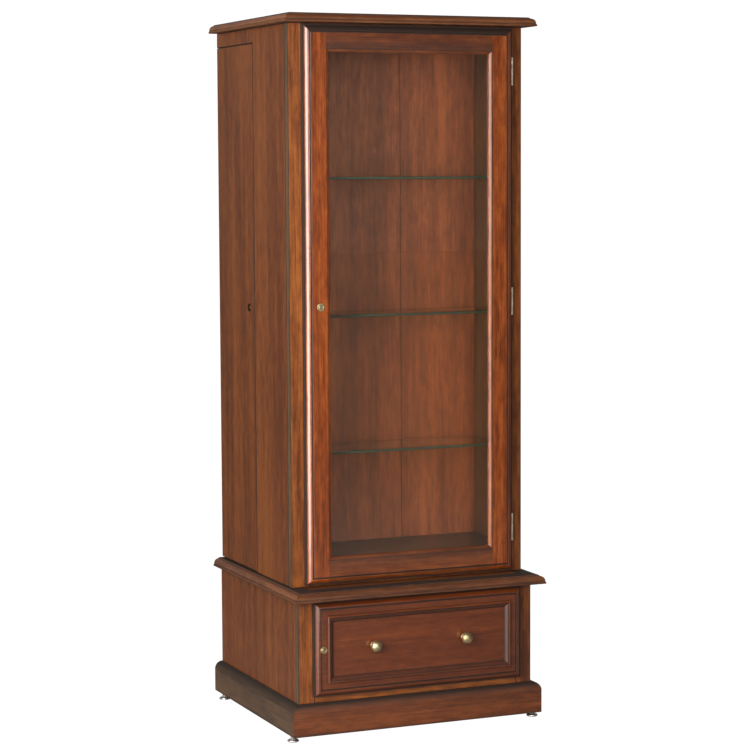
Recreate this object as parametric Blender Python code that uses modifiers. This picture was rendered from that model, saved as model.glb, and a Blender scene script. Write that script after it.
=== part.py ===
"""A display cabinet with a glass door, a drawer and a pull-out rack behind the display.

Metres, +Z up, the front faces -Y and +X is to the right of someone looking at the front.
The origin is on the floor, under the centre of the cabinet's box.
"""
import math

import bmesh
import bpy
from mathutils import Matrix

# ---- driving dimensions ----------------------------------------------------------------
HEIGHT = 1.727            # floor to the top of the cornice
UPPER_HALF = 0.306        # half the width of the upper case
BASE_HALF = 0.309         # half the width of the base
UPPER_DEPTH = 0.500       # face frame to back panel
BASE_STEP = 0.047         # how far the base stands in front of the upper case
BOARD = 0.019             # sides and face frames
SHEET = 0.006             # back panels
GAP = 0.0003              # between pieces that touch
STANDOFF = 0.0023         # between a face frame and the door or drawer front on it
LEAF = 0.020              # thickness of the door and of the drawer front

TOP_BOARD = 0.022         # cornice and waist board
WAIST_TOP = 0.3635
GLIDE_GAP = 0.0155        # floor to the underside of the plinth
PLINTH_TOP = 0.092
PLINTH_OUT = 0.0205
PLINTH_ROUND = 0.0195

LEAF_HALF = 0.2745        # half the width of the door and of the drawer front
DOOR_LOW = 0.370
DOOR_HIGH = 1.702
DRAWER_LOW = 0.108
DRAWER_HIGH = 0.336
MEMBER = 0.066            # a door stile or rail with its inner lip
LIP = 0.009               # the lip that laps the glass

UPPER_STILE = 0.056
BASE_STILE = 0.041
DISPLAY_FLOOR = 0.430
SHELF_TOPS = (1.343, 1.012, 0.682)
SHELF_T = 0.006
PARTITION = 0.228         # depth of the display space, from the face frame's front
PARTITION_T = 0.009
RACK_LOW = 0.366
RACK_HIGH = 1.667
RAIL_LOW = 1.669          # underside of the side rail over the pull-out

KNOB_LENGTH = 0.026
KNOB_X = 0.120
RECESS = 0.004            # the drawer's centre panel lies this far below its face
LOCK_BODY = 0.0413
LOCK_BORE = 0.0080
SIDE_LOCK_Y = 0.278       # behind the face frame's front
SIDE_LOCK_Z = 1.022
HINGE_H = 0.068
HINGE_STEP = 0.561        # between the hinges' centres
BARREL = 0.0035

# ---- derived places --------------------------------------------------------------------
OVERALL_DEPTH = UPPER_DEPTH + BASE_STEP + STANDOFF + LEAF - RECESS + KNOB_LENGTH
BACK = OVERALL_DEPTH / 2
FRONT = BACK - UPPER_DEPTH
BASE_FRONT = FRONT - BASE_STEP
CASE_TOP = HEIGHT - TOP_BOARD
WAIST_LOW = WAIST_TOP - TOP_BOARD
DOOR_BACK = FRONT - STANDOFF
DOOR_FACE = DOOR_BACK - LEAF
DRAWER_BACK = BASE_FRONT - STANDOFF
DRAWER_FACE = DRAWER_BACK - LEAF
DOOR_MID = (DOOR_LOW + DOOR_HIGH) / 2
DRAWER_MID = (DRAWER_LOW + DRAWER_HIGH) / 2
HINGE_X = LEAF_HALF + GAP + BARREL
HINGE_Y = FRONT - GAP - BARREL
SIDE_IN = UPPER_HALF - BOARD
BASE_IN = BASE_HALF - BOARD
LOCK_X = -0.235
DRAWER_LOCK_X = -0.252
RACK_FRONT = FRONT + 0.268
RACK_BACK = BACK - 0.030

# Moulded edge of the cornice and the waist board: how far it stands out, and how high.
BOARD_EDGE = ((0.0200, 0.0), (0.0215, 0.0012), (0.0220, 0.0038), (0.0210, 0.0085),
              (0.0185, 0.0140), (0.0145, 0.0187), (0.0100, 0.0212), (0.0070, TOP_BOARD))

# Moulded edge of the door and the drawer front: how far in, and how high off the back.
LEAF_EDGE = ((0.0, 0.0), (0.0, 0.010), (0.004, 0.010), (0.0055, 0.0150),
             (0.0090, 0.0190), (0.0135, LEAF))

# The drawer's raised ring and recessed panel, continuing LEAF_EDGE inwards.
RING = ((0.0315, LEAF), (0.0345, 0.0245), (0.0380, 0.0245), (0.0470, 0.0175),
        (0.0480, LEAF - RECESS))


# ---- scene and materials ---------------------------------------------------------------
def clear_scene():
    for obj in list(bpy.data.objects):
        bpy.data.objects.remove(obj, do_unlink=True)


def new_collection(name):
    group = bpy.data.collections.new(name)
    bpy.context.scene.collection.children.link(group)
    return group


def make_material(name, colour, roughness, metallic=0.0, alpha=1.0):
    material = bpy.data.materials.new(name)
    material.use_nodes = True
    shader = material.node_tree.nodes["Principled BSDF"]
    shader.inputs["Base Color"].default_value = (*colour, 1.0)
    shader.inputs["Roughness"].default_value = roughness
    shader.inputs["Metallic"].default_value = metallic
    shader.inputs["Alpha"].default_value = alpha
    return material


clear_scene()
PARTS = new_collection("display_cabinet")
CUTTERS = new_collection("cutters")
COLOURS = {
    "case": (0.170, 0.062, 0.030), "frame": (0.290, 0.095, 0.040),
    "door": (0.270, 0.085, 0.035), "inside": (0.200, 0.070, 0.040),
    "plywood": (0.480, 0.330, 0.180), "brass": (0.420, 0.330, 0.160),
    "steel": (0.550, 0.550, 0.560), "glass": (0.700, 0.820, 0.760),
}


def piece_material(name, kind):
    metal = kind in ("brass", "steel")
    roughness = {"glass": 0.05, "brass": 0.30, "steel": 0.35}.get(kind, 0.45)
    alpha = 0.25 if kind == "glass" else 1.0
    return make_material(name + "_finish", COLOURS[kind], roughness, float(metal), alpha)


# ---- building blocks -------------------------------------------------------------------
def add_piece(obj, kind, parent=None):
    """Put an object in the parts, give it its material and hang it on its joint's empty."""
    PARTS.objects.link(obj)
    obj.data.materials.append(piece_material(obj.name, kind))
    if parent:
        obj.parent = parent
        obj.matrix_parent_inverse = parent.matrix_world.inverted()
    return obj


def add_cutter(obj):
    CUTTERS.objects.link(obj)
    obj.hide_render = True
    obj.display_type = "WIRE"
    return obj


def joint_empty(name, place):
    empty = bpy.data.objects.new(name, None)
    PARTS.objects.link(empty)
    empty.location = place
    bpy.context.view_layer.update()
    return empty


def mesh_object(name, bm, place=Matrix.Identity(4)):
    bmesh.ops.recalc_face_normals(bm, faces=bm.faces)
    mesh = bpy.data.meshes.new(name)
    bm.to_mesh(mesh)
    bm.free()
    obj = bpy.data.objects.new(name, mesh)
    obj.matrix_world = place
    return obj


def cube_object(name, low, high):
    size = [b - a for a, b in zip(low, high)]
    centre = [(a + b) / 2 for a, b in zip(low, high)]
    bm = bmesh.new()
    bmesh.ops.create_cube(bm, size=1.0)
    bmesh.ops.scale(bm, vec=size, verts=bm.verts)
    return mesh_object(name, bm, Matrix.Translation(centre))


def board(name, low, high, kind, parent=None):
    return add_piece(cube_object(name, low, high), kind, parent)


def rod_object(name, radius, length, place, sides=16):
    """A closed cylinder along its own Z, centred on place."""
    bm = bmesh.new()
    bmesh.ops.create_cone(bm, cap_ends=True, segments=sides, radius1=radius,
                          radius2=radius, depth=length)
    return mesh_object(name, bm, place)


def outline_object(name, points, length, place):
    """A flat outline in X and Y, extruded to its length along Z, as a welded mesh."""
    curve = bpy.data.curves.new(name, "CURVE")
    curve.dimensions = "2D"
    curve.fill_mode = "BOTH"
    curve.extrude = length / 2
    spline = curve.splines.new("POLY")
    spline.points.add(len(points) - 1)
    for point, (x, y) in zip(spline.points, points):
        point.co = (x, y, 0.0, 1.0)
    spline.use_cyclic_u = True
    guide = bpy.data.objects.new(name + "_outline", curve)
    bpy.context.scene.collection.objects.link(guide)
    bpy.context.view_layer.update()
    evaluated = guide.evaluated_get(bpy.context.evaluated_depsgraph_get())
    mesh = bpy.data.meshes.new_from_object(evaluated)
    bpy.data.objects.remove(guide)
    bm = bmesh.new()
    bm.from_mesh(mesh)
    bmesh.ops.remove_doubles(bm, verts=bm.verts, dist=1e-5)
    bpy.data.meshes.remove(mesh)
    return mesh_object(name, bm, place)


def rings_object(name, rings):
    """Rectangles stacked into one closed body: each ring is its four corners."""
    bm = bmesh.new()
    loops = [[bm.verts.new(corner) for corner in ring] for ring in rings]
    for lower, upper in zip(loops, loops[1:]):
        for i in range(4):
            j = (i + 1) % 4
            bm.faces.new((lower[i], lower[j], upper[j], upper[i]))
    bm.faces.new(loops[0])
    bm.faces.new(loops[-1])
    return mesh_object(name, bm)


def turned_object(name, profile, steps, place):
    """A profile of (radius, height), top to bottom on its outer side, turned about Z."""
    mesh = bpy.data.meshes.new(name)
    edges = [(i, i + 1) for i in range(len(profile) - 1)]
    mesh.from_pydata([(r, 0.0, z) for r, z in profile], edges, [])
    obj = bpy.data.objects.new(name, mesh)
    obj.matrix_world = place
    screw = obj.modifiers.new("turned", "SCREW")
    screw.axis = "Z"
    screw.steps = steps
    screw.render_steps = steps
    screw.use_merge_vertices = True
    screw.merge_threshold = 0.00001
    return obj


def boolean(obj, tool, operation="DIFFERENCE"):
    modifier = obj.modifiers.new(tool.name, "BOOLEAN")
    modifier.operation = operation
    modifier.solver = "EXACT"
    modifier.object = add_cutter(tool)
    return obj


def bore(obj, radius, length, place):
    return boolean(obj, rod_object(obj.name + "_bore", radius, length, place))


# Turns that lay an object's own Z along a world axis.
ALONG_X = Matrix.Rotation(math.pi / 2, 4, "Y") @ Matrix.Rotation(math.pi / 2, 4, "Z")
OUT_FRONT = Matrix.Rotation(math.pi / 2, 4, "X")
OUT_LEFT = Matrix.Rotation(-math.pi / 2, 4, "Y")


def at(x, y, z, turn=Matrix.Identity(4)):
    return Matrix.Translation((x, y, z)) @ turn


# ---- carcass ---------------------------------------------------------------------------
def edged_board(name, half, front, low, kind):
    """A top board that covers a frame and the leaf on it, with the BOARD_EDGE moulding."""
    rings = []
    for out, up in BOARD_EDGE:
        x = half + out
        y = front - STANDOFF - LEAF - out
        z = low + up
        rings.append(((-x, y, z), (x, y, z), (x, BACK, z), (-x, BACK, z)))
    return add_piece(rings_object(name, rings), kind)


def left_side_panel():
    """One board: full height at the front, a rail over the pull-out at the rear."""
    y0 = FRONT + BOARD + GAP
    y1 = FRONT + PARTITION + PARTITION_T
    low = WAIST_TOP + GAP
    high = CASE_TOP - GAP
    points = ((y0, low), (y1, low), (y1, RAIL_LOW), (BACK, RAIL_LOW), (BACK, high), (y0, high))
    place = at(-(UPPER_HALF + SIDE_IN) / 2, 0, 0, ALONG_X)
    return add_piece(outline_object("left_side_panel", points, BOARD, place), "case")


def face_frame(prefix, half, stile, front, low, high, rails):
    """Two stiles and the rails between them; rails are (name, low, high)."""
    for side, name in ((-1, "left"), (1, "right")):
        x0, x1 = sorted((side * half, side * (half - stile)))
        board(f"{prefix}_{name}_stile", (x0, front, low), (x1, front + BOARD, high), "frame")
    inner = half - stile - GAP
    for name, z0, z1 in rails:
        board(f"{prefix}_{name}_rail", (-inner, front, z0), (inner, front + BOARD, z1), "frame")


def upper_case():
    low = WAIST_TOP + GAP
    high = CASE_TOP - GAP
    inner = SIDE_IN - GAP
    edged_board("cornice_board", UPPER_HALF, FRONT, CASE_TOP, "case")
    left_side_panel()
    board("right_side_panel", (SIDE_IN, FRONT + BOARD + GAP, low), (UPPER_HALF, BACK, high),
          "case")
    board("upper_back_panel", (-inner, BACK - SHEET, low), (inner, BACK, high), "plywood")
    face_frame("upper", UPPER_HALF, UPPER_STILE, FRONT, low, high,
               (("top", 1.664, high), ("bottom", low, DISPLAY_FLOOR)))
    board("display_back_panel", (-inner, FRONT + PARTITION, low),
          (inner, FRONT + PARTITION + PARTITION_T, high), "inside")
    board("display_floor_board", (-inner, FRONT + BOARD + GAP, DISPLAY_FLOOR - 0.018),
          (inner, FRONT + PARTITION - GAP, DISPLAY_FLOOR), "inside")
    jamb = FRONT + PARTITION + PARTITION_T + GAP
    board("slider_jamb", (-inner, jamb, low), (-inner + 0.0218, jamb + 0.020, high), "plywood")


def glass_shelves():
    for name, top in zip(("upper", "middle", "lower"), SHELF_TOPS):
        board(f"glass_shelf_{name}", (-0.285, FRONT + 0.035, top - SHELF_T),
              (0.285, FRONT + 0.218, top), "glass")


# ---- door ------------------------------------------------------------------------------
def member_points():
    """Section of a door stile or rail: across from its outer edge, and up off its back."""
    face = MEMBER - LIP
    quirk = ((0.0150, 0.0187), (0.0175, 0.0187), (0.0190, LEAF))
    inner = ((face, LEAF), (MEMBER, 0.0105), (MEMBER, 0.0095), (face, 0.0095), (face, 0.0))
    return LEAF_EDGE + quirk + inner


def door_stile(name, side, door):
    points = [(side * (LEAF_HALF - u), DOOR_BACK - v) for u, v in member_points()]
    middle = at(0, 0, DOOR_MID)
    stile = outline_object(name, points, DOOR_HIGH - DOOR_LOW, middle)
    if side < 0:
        bore(stile, LOCK_BORE, 0.06, at(LOCK_X, DOOR_BACK, DOOR_MID, OUT_FRONT))
    return add_piece(stile, "door", door)


def door_rail(name, edge, side, door):
    """A rail whose front corners are cut back where the stiles' lips pass."""
    points = [(DOOR_BACK - v, edge - side * u) for u, v in member_points()]
    half = LEAF_HALF - MEMBER + LIP - GAP
    rail = outline_object(name, points, 2 * half, at(0, 0, 0, ALONG_X))
    shoulder = LEAF_HALF - MEMBER - GAP
    z0, z1 = sorted((edge + side * 0.01, edge - side * (MEMBER + 0.01)))
    for hand in (-1, 1):
        x0, x1 = sorted((hand * shoulder, hand * (half + 0.01)))
        cope = cube_object(f"{name}_cope_{hand}", (x0, DOOR_FACE - 0.01, z0),
                           (x1, DOOR_BACK - 0.0092, z1))
        boolean(rail, cope)
    return add_piece(rail, "door", door)


def glass_door(door):
    door_stile("door_left_stile", -1, door)
    door_stile("door_right_stile", 1, door)
    door_rail("door_top_rail", DOOR_HIGH, 1, door)
    door_rail("door_bottom_rail", DOOR_LOW, -1, door)
    half = LEAF_HALF - MEMBER + LIP - 0.0005
    rim = MEMBER - LIP + 0.0005
    board("door_glass", (-half, DOOR_BACK - 0.0092, DOOR_LOW + rim),
          (half, DOOR_BACK - 0.0055, DOOR_HIGH - rim), "glass", door)


def hinge(name, middle, door):
    """A flat hinge whose door leaf nests in the frame leaf, in the gap behind the door."""
    y0 = FRONT - 0.0019
    y1 = FRONT - 0.0004
    low = middle - HINGE_H / 2
    third = HINGE_H * 0.32
    spine = HINGE_X - 0.0250
    frame_leaf = cube_object(f"{name}_frame_leaf", (spine, y0, low),
                             (spine + 0.007, y1, low + HINGE_H))
    axis = (HINGE_X, HINGE_Y)
    for end, z0 in (("low", low), ("high", low + HINGE_H - third)):
        tab = cube_object(f"{name}_{end}_tab", (spine + 0.003, y0, z0), (HINGE_X, y1, z0 + third))
        boolean(frame_leaf, tab, "UNION")
        knuckle = rod_object(f"{name}_{end}_knuckle", BARREL, third, at(*axis, z0 + third / 2))
        boolean(frame_leaf, knuckle, "UNION")
    pin = rod_object(f"{name}_pin", 0.0014, HINGE_H - 0.004, at(*axis, middle), 12)
    add_piece(boolean(frame_leaf, pin, "UNION"), "brass")

    half = HINGE_H / 2 - third - 0.0004
    leaf = cube_object(f"{name}_door_leaf", (spine + 0.0075, y0, middle - half),
                       (HINGE_X, y1, middle + half))
    knuckle = rod_object(f"{name}_knuckle", BARREL, 2 * half, at(*axis, middle))
    boolean(leaf, knuckle, "UNION")
    bore(leaf, 0.0018, HINGE_H, at(*axis, middle))
    return add_piece(leaf, "brass", door)


# ---- locks and knobs -------------------------------------------------------------------
def cam_lock(prefix, flange, place, holder, key):
    """A cam lock: place has its Z out of the panel's face, and its Y up."""
    shell = LOCK_BORE - 0.0005
    body = ((0.0056, 0.0016), (flange - 0.0007, 0.0016), (flange, GAP), (shell, GAP),
            (shell, -LOCK_BODY), (0.0056, -LOCK_BODY), (0.0056, 0.0016))
    add_piece(turned_object(f"{prefix}_lock_body", body, 20, place), "brass", holder)
    rear = -LOCK_BODY - 0.0034
    plug = ((0.0, 0.0021), (0.0052, 0.0021), (0.0052, rear), (0.0, rear))
    plug = turned_object(f"{prefix}_lock_plug", plug, 16, place)
    slot = cube_object(f"{prefix}_key_slot", (-0.0007, -0.0034, -0.005), (0.0007, 0.0034, 0.003))
    slot.matrix_world = place @ slot.matrix_world
    boolean(plug, slot)
    cam = cube_object(f"{prefix}_cam", (-0.006, -0.028, rear + 0.0002),
                      (0.006, 0.006, rear + 0.0026))
    cam.matrix_world = place @ cam.matrix_world
    boolean(plug, cam, "UNION")
    return add_piece(plug, "brass", key)


def knob(name, x, drawer):
    """A round knob with its backplate and the screw that holds it through the front."""
    r = 0.0148
    profile = [(0.0, KNOB_LENGTH), (0.0045, KNOB_LENGTH - 0.0002)]
    for step in range(1, 6):
        turn = math.radians(90 - 26 * step)
        profile.append((0.0045 + (r - 0.0045) * math.cos(turn), 0.0192 + 0.0066 * math.sin(turn)))
    profile += [(0.0060, 0.0095), (0.0055, 0.0060), (0.0105, 0.0030), (0.0120, GAP)]
    head = RECESS - LEAF - GAP
    profile += [(0.0020, GAP), (0.0020, head), (0.0045, head), (0.0045, head - 0.003)]
    profile.append((0.0, head - 0.003))
    place = at(x, DRAWER_FACE + RECESS, DRAWER_MID, OUT_FRONT)
    return add_piece(turned_object(name, profile, 20, place), "brass", drawer)


# ---- pull-out rack ---------------------------------------------------------------------
def runner_pair(prefix, base, half, lift, along, fixed_span, moving_span, place, holder):
    """A lipped channel and the bar that runs in it, with outlines drawn about its middle."""
    wall = 0.0018
    slot = half * 0.5
    channel = ((-half, 0), (half, 0), (half, lift), (slot, lift), (slot, lift - wall),
               (half - wall, lift - wall), (half - wall, wall), (wall - half, wall),
               (wall - half, lift - wall), (-slot, lift - wall), (-slot, lift), (-half, lift))
    foot = half - wall - 0.0008
    stem = slot - 0.003
    top = along - base
    bar = ((-foot, wall + 0.0008), (foot, wall + 0.0008), (foot, lift - wall - 0.0008),
           (stem, lift - wall - 0.0008), (stem, top), (-stem, top),
           (-stem, lift - wall - 0.0008), (-foot, lift - wall - 0.0008))
    fixed = outline_object(f"{prefix}_runner_fixed", channel, fixed_span[1] - fixed_span[0],
                           place(sum(fixed_span) / 2))
    moving = outline_object(f"{prefix}_runner_moving", bar, moving_span[1] - moving_span[0],
                            place(sum(moving_span) / 2))
    add_piece(fixed, "steel")
    add_piece(moving, "steel", holder)


def pull_out_rack(rack):
    panel = cube_object("slider_end_panel", (-UPPER_HALF, FRONT + PARTITION + PARTITION_T + 0.0015,
                                             RACK_LOW), (-SIDE_IN, BACK, RACK_HIGH))
    bore(panel, LOCK_BORE, 0.06, at(-SIDE_IN, FRONT + SIDE_LOCK_Y, SIDE_LOCK_Z, OUT_LEFT))
    add_piece(panel, "case", rack)
    left = -SIDE_IN + GAP
    right = 0.262
    board("slider_tray_board", (left, RACK_FRONT, 0.400), (right, RACK_BACK, 0.418), "plywood",
          rack)
    board("slider_far_post", (right + GAP, RACK_FRONT, 0.400), (right + 0.018, RACK_BACK, 1.400),
          "plywood", rack)
    rail = cube_object("slider_rest_rail", (left, BACK - 0.110, 1.300),
                       (right, BACK - 0.035, 1.320))
    for index in range(4):
        x = -0.217 + 0.137 * index
        notch = cube_object(f"rest_notch_{index}", (x - 0.020, BACK - 0.120, 1.29),
                            (x + 0.020, BACK - 0.080, 1.33))
        boolean(rail, notch)
    add_piece(rail, "plywood", rack)
    middle = (RACK_FRONT + RACK_BACK) / 2
    base = WAIST_TOP + GAP
    runner_pair("slider", base, 0.028, 0.030, 0.400 - GAP, (-0.280, 0.280), (left, right),
                lambda x: at(x, middle, base, ALONG_X), rack)


# ---- base ------------------------------------------------------------------------------
def plinth_points(low, high):
    """Section of the plinth: out from the base, and up, with a rounded top edge."""
    points = [(GAP, low), (PLINTH_OUT, low)]
    centre = high - PLINTH_ROUND
    for step in range(7):
        turn = math.radians(15 * step)
        points.append((PLINTH_OUT - PLINTH_ROUND * (1 - math.cos(turn)),
                       centre + PLINTH_ROUND * math.sin(turn)))
    return points + [(GAP, high)]


def plinth():
    points = plinth_points(GLIDE_GAP, PLINTH_TOP)
    front = [(BASE_FRONT - out, z) for out, z in points]
    place = at(0, 0, 0, ALONG_X)
    half = BASE_HALF + PLINTH_OUT
    add_piece(outline_object("plinth_front", front, 2 * half, place), "case")
    for side, name in ((-1, "left"), (1, "right")):
        sideways = [(side * (BASE_HALF + out), -z) for out, z in points]
        place = at(0, (BASE_FRONT + BACK) / 2, 0, OUT_FRONT @ Matrix.Rotation(math.pi, 4, "X"))
        strip = outline_object(f"plinth_{name}", sideways, BACK - BASE_FRONT, place)
        for end, y in glide_rows():
            stem = rod_object(f"plinth_{name}_{end}_hole", 0.0044, 0.070,
                              at(side * GLIDE_X, y, 0.017))
            boolean(strip, stem)
        add_piece(strip, "case")


GLIDE_X = BASE_HALF + 0.0103


def glide_rows():
    return (("front", BASE_FRONT + 0.012), ("rear", BACK - 0.045))


def levelling_glides():
    """A foot disc with its nut and threaded stem, which screws up into the plinth."""
    profile = ((0.0, 0.046), (0.0035, 0.046), (0.0035, 0.0120), (0.0070, 0.0120),
               (0.0070, 0.0070), (0.0125, 0.0055), (0.0140, 0.0035), (0.0140, 0.0008),
               (0.0132, 0.0), (0.0, 0.0))
    for side, hand in ((-1, "left"), (1, "right")):
        for end, y in glide_rows():
            name = f"glide_{end}_{hand}"
            empty = joint_empty(name + "_axis", (side * GLIDE_X, y, 0.0))
            foot = turned_object(name, profile, 16, at(side * GLIDE_X, y, 0.0))
            add_piece(foot, "steel", empty)


def base_case():
    high = WAIST_LOW - GAP
    inner = BASE_IN - GAP
    edged_board("waist_board", BASE_HALF, BASE_FRONT, WAIST_LOW, "case")
    for side, name in ((-1, "left"), (1, "right")):
        x0, x1 = sorted((side * BASE_IN, side * BASE_HALF))
        board(f"base_{name}_side", (x0, BASE_FRONT + BOARD + GAP, GLIDE_GAP), (x1, BACK, high),
              "case")
    board("base_back_panel", (-inner, BACK - SHEET, PLINTH_TOP), (inner, BACK, high), "plywood")
    face_frame("base", BASE_HALF, BASE_STILE, BASE_FRONT, GLIDE_GAP, high,
               (("bottom", GLIDE_GAP, 0.126),))
    plinth()
    levelling_glides()


# ---- drawer ----------------------------------------------------------------------------
def drawer_front(drawer):
    """The front board: moulded edge, raised ring and recessed centre panel in one piece."""
    rings = []
    for inset, up in LEAF_EDGE + RING:
        x = LEAF_HALF - inset
        z0 = DRAWER_LOW + inset
        z1 = DRAWER_HIGH - inset
        y = DRAWER_BACK - up
        rings.append(((-x, y, z0), (x, y, z0), (x, y, z1), (-x, y, z1)))
    front = rings_object("drawer_front", rings)
    bore(front, LOCK_BORE, 0.06, at(DRAWER_LOCK_X, DRAWER_BACK, DRAWER_MID, OUT_FRONT))
    for side in (-1, 1):
        bore(front, 0.0025, 0.06, at(side * KNOB_X, DRAWER_BACK, DRAWER_MID, OUT_FRONT))
    return add_piece(front, "door", drawer)


def drawer_box(drawer):
    half = 0.235
    wall = 0.012
    y0 = DRAWER_BACK + GAP
    y1 = BASE_FRONT + 0.400
    inner = half - wall - GAP
    for side, name in ((-1, "left"), (1, "right")):
        x0, x1 = sorted((side * half, side * (half - wall)))
        board(f"drawer_{name}_side", (x0, y0, 0.140), (x1, y1, 0.290), "plywood", drawer)
    board("drawer_bottom", (-inner, y0, 0.148), (inner, y1, 0.156), "plywood", drawer)
    board("drawer_back", (-inner, y1 - wall, 0.156 + GAP), (inner, y1, 0.290), "plywood", drawer)
    base = 0.126 + GAP
    turn = OUT_FRONT @ Matrix.Rotation(math.pi, 4, "X") @ Matrix.Rotation(math.pi, 4, "Z")
    runner_pair("drawer", base, 0.022, 0.014, 0.148 - GAP, (BASE_FRONT + 0.001, BACK - 0.0065),
                (y0, y1 - 0.002), lambda y: at(0, y, base, turn), drawer)


# ---- assembly --------------------------------------------------------------------------
def build():
    upper_case()
    glass_shelves()

    door = joint_empty("door_axis", (HINGE_X, HINGE_Y, DOOR_MID))
    glass_door(door)
    for name, step in (("upper", 1), ("middle", 0), ("lower", -1)):
        hinge(f"hinge_{name}", DOOR_MID + step * HINGE_STEP, door)
    place = at(LOCK_X, DOOR_FACE, DOOR_MID, OUT_FRONT)
    cam_lock("door", 0.0097, place, door, joint_empty("door_lock_axis", place.translation))

    rack = joint_empty("rack_axis", (-UPPER_HALF, BACK - 0.130, RACK_LOW))
    pull_out_rack(rack)
    upright = OUT_LEFT @ Matrix.Rotation(math.pi / 2, 4, "Z")
    place = at(-UPPER_HALF, FRONT + SIDE_LOCK_Y, SIDE_LOCK_Z, upright)
    cam_lock("side", 0.0097, place, rack, joint_empty("side_lock_axis", place.translation))

    base_case()
    drawer = joint_empty("drawer_axis", (0, DRAWER_BACK, DRAWER_MID))
    drawer_front(drawer)
    drawer_box(drawer)
    knob("drawer_knob_left", -KNOB_X, drawer)
    knob("drawer_knob_right", KNOB_X, drawer)
    place = at(DRAWER_LOCK_X, DRAWER_FACE, DRAWER_MID, OUT_FRONT)
    cam_lock("drawer", 0.0088, place, drawer, joint_empty("drawer_lock_axis", place.translation))


build()
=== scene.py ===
# %% [markdown]
# # A curio cabinet with a glass door, a drawer and a hidden pull-out rack
# The cabinet is cherry-stained hardwood and veneer under satin lacquer, with a dark glaze
# wiped into its mouldings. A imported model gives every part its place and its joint, and this
# lesson builds the fine surface around it: mitred mouldings, eased boards, turned brass,
# glass shelves and the wood itself.

# %% Load the frame
import math
import random

import bmesh
import bpy
from mathutils import Matrix, Vector


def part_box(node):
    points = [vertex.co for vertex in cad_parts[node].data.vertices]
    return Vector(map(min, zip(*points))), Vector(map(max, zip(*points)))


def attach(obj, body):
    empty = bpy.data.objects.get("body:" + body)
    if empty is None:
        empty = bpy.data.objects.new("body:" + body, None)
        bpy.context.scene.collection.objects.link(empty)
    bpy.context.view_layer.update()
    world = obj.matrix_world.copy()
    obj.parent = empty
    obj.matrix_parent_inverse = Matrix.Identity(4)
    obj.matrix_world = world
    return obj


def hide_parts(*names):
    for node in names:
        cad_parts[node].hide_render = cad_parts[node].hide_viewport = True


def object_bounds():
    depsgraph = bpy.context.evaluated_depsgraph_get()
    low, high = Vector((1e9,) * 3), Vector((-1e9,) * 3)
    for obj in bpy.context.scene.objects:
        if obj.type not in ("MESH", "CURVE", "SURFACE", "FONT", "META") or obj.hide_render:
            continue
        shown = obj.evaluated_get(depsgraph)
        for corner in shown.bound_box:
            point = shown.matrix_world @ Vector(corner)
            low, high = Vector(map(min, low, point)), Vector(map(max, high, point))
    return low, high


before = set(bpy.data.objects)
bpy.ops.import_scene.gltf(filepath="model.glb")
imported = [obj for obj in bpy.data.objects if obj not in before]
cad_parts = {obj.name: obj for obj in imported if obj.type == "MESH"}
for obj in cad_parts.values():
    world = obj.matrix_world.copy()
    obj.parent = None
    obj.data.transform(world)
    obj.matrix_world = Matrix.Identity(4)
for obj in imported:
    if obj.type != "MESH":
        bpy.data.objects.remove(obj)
cad_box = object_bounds()
print("cad box:", cad_box)


def corners(node):
    """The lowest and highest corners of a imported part, as plain vectors."""
    low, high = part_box(node)
    return Vector(low), Vector(high)


# %% [markdown]
# ## Where things are
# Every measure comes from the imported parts, so the mouldings land exactly on the boards they
# cover. The front of the case faces -Y. Only a few sizes, such as the moulding profiles, are
# the cabinetmaker's own and are written out here in metres.

# %% Measure the cabinet
FRAME_LOW = corners("upper_left_stile")[0]
BASE_LOW = corners("base_left_stile")[0]
DOOR_LOW, DOOR_HIGH = corners("door_left_stile")
DRAWER_LOW, DRAWER_HIGH = corners("drawer_front")
CORNICE_LOW, CORNICE_HIGH = corners("cornice_board")
WAIST_LOW, WAIST_HIGH = corners("waist_board")
BACK = CORNICE_HIGH.y
CASE_HALF = -FRAME_LOW.x
BASE_HALF = -BASE_LOW.x
CASE_FRONT = FRAME_LOW.y
BASE_FRONT = BASE_LOW.y
LEAF = 0.020                       # thickness of the door and the drawer front
DOOR_FACE = DOOR_LOW.y
DOOR_BACK = DOOR_FACE + LEAF
LEAF_HALF = -DOOR_LOW.x
DRAWER_BACK = BASE_FRONT - (CASE_FRONT - DOOR_BACK)
DRAWER_MID = (DRAWER_LOW.z + DRAWER_HIGH.z) / 2
MEMBER = 0.066                     # a door stile or rail, with the lip that laps the glass
LIP = 0.009
print("case", round(2 * CASE_HALF, 3), "m wide and", round(CORNICE_HIGH.z, 3), "m high")

# %% [markdown]
# ## The camera
# A long lens from far away keeps the uprights nearly parallel. The camera stands to the left
# of the cabinet, a little above its middle, and looks slightly down.

# %% Place the camera
CAMERA_TURN = math.radians(-23.09)
CAMERA_TILT = math.radians(90 - 5.08)
CAMERA_ROLL = math.radians(-0.292)
camera_data = bpy.data.cameras.new("camera")
camera_data.lens = 111.3
camera_data.sensor_width = 36.0
camera_data.clip_end = 60.0
camera = bpy.data.objects.new("camera", camera_data)
bpy.context.scene.collection.objects.link(camera)
camera.matrix_world = (
    Matrix.Translation((-2.269, CASE_FRONT - 5.118, 1.362))
    @ Matrix.Rotation(CAMERA_TURN, 4, "Z")
    @ Matrix.Rotation(CAMERA_TILT, 4, "X")
    @ Matrix.Rotation(CAMERA_ROLL, 4, "Z")
)
bpy.context.scene.camera = camera
print("camera at", [round(v, 3) for v in camera.matrix_world.translation])

# %% [markdown]
# ## The studio
# The cabinet stands on white paper that fills the picture. Only the camera sees the paper
# white, directly or through glass. Everything else sees a dim, warm room, brighter behind the
# cabinet than in front of it, so the lacquer stays deep and the grooves stay dark. A tall
# softbox on the left draws the bright line down the door's bead, and a small one in front
# fills the rest.

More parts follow.
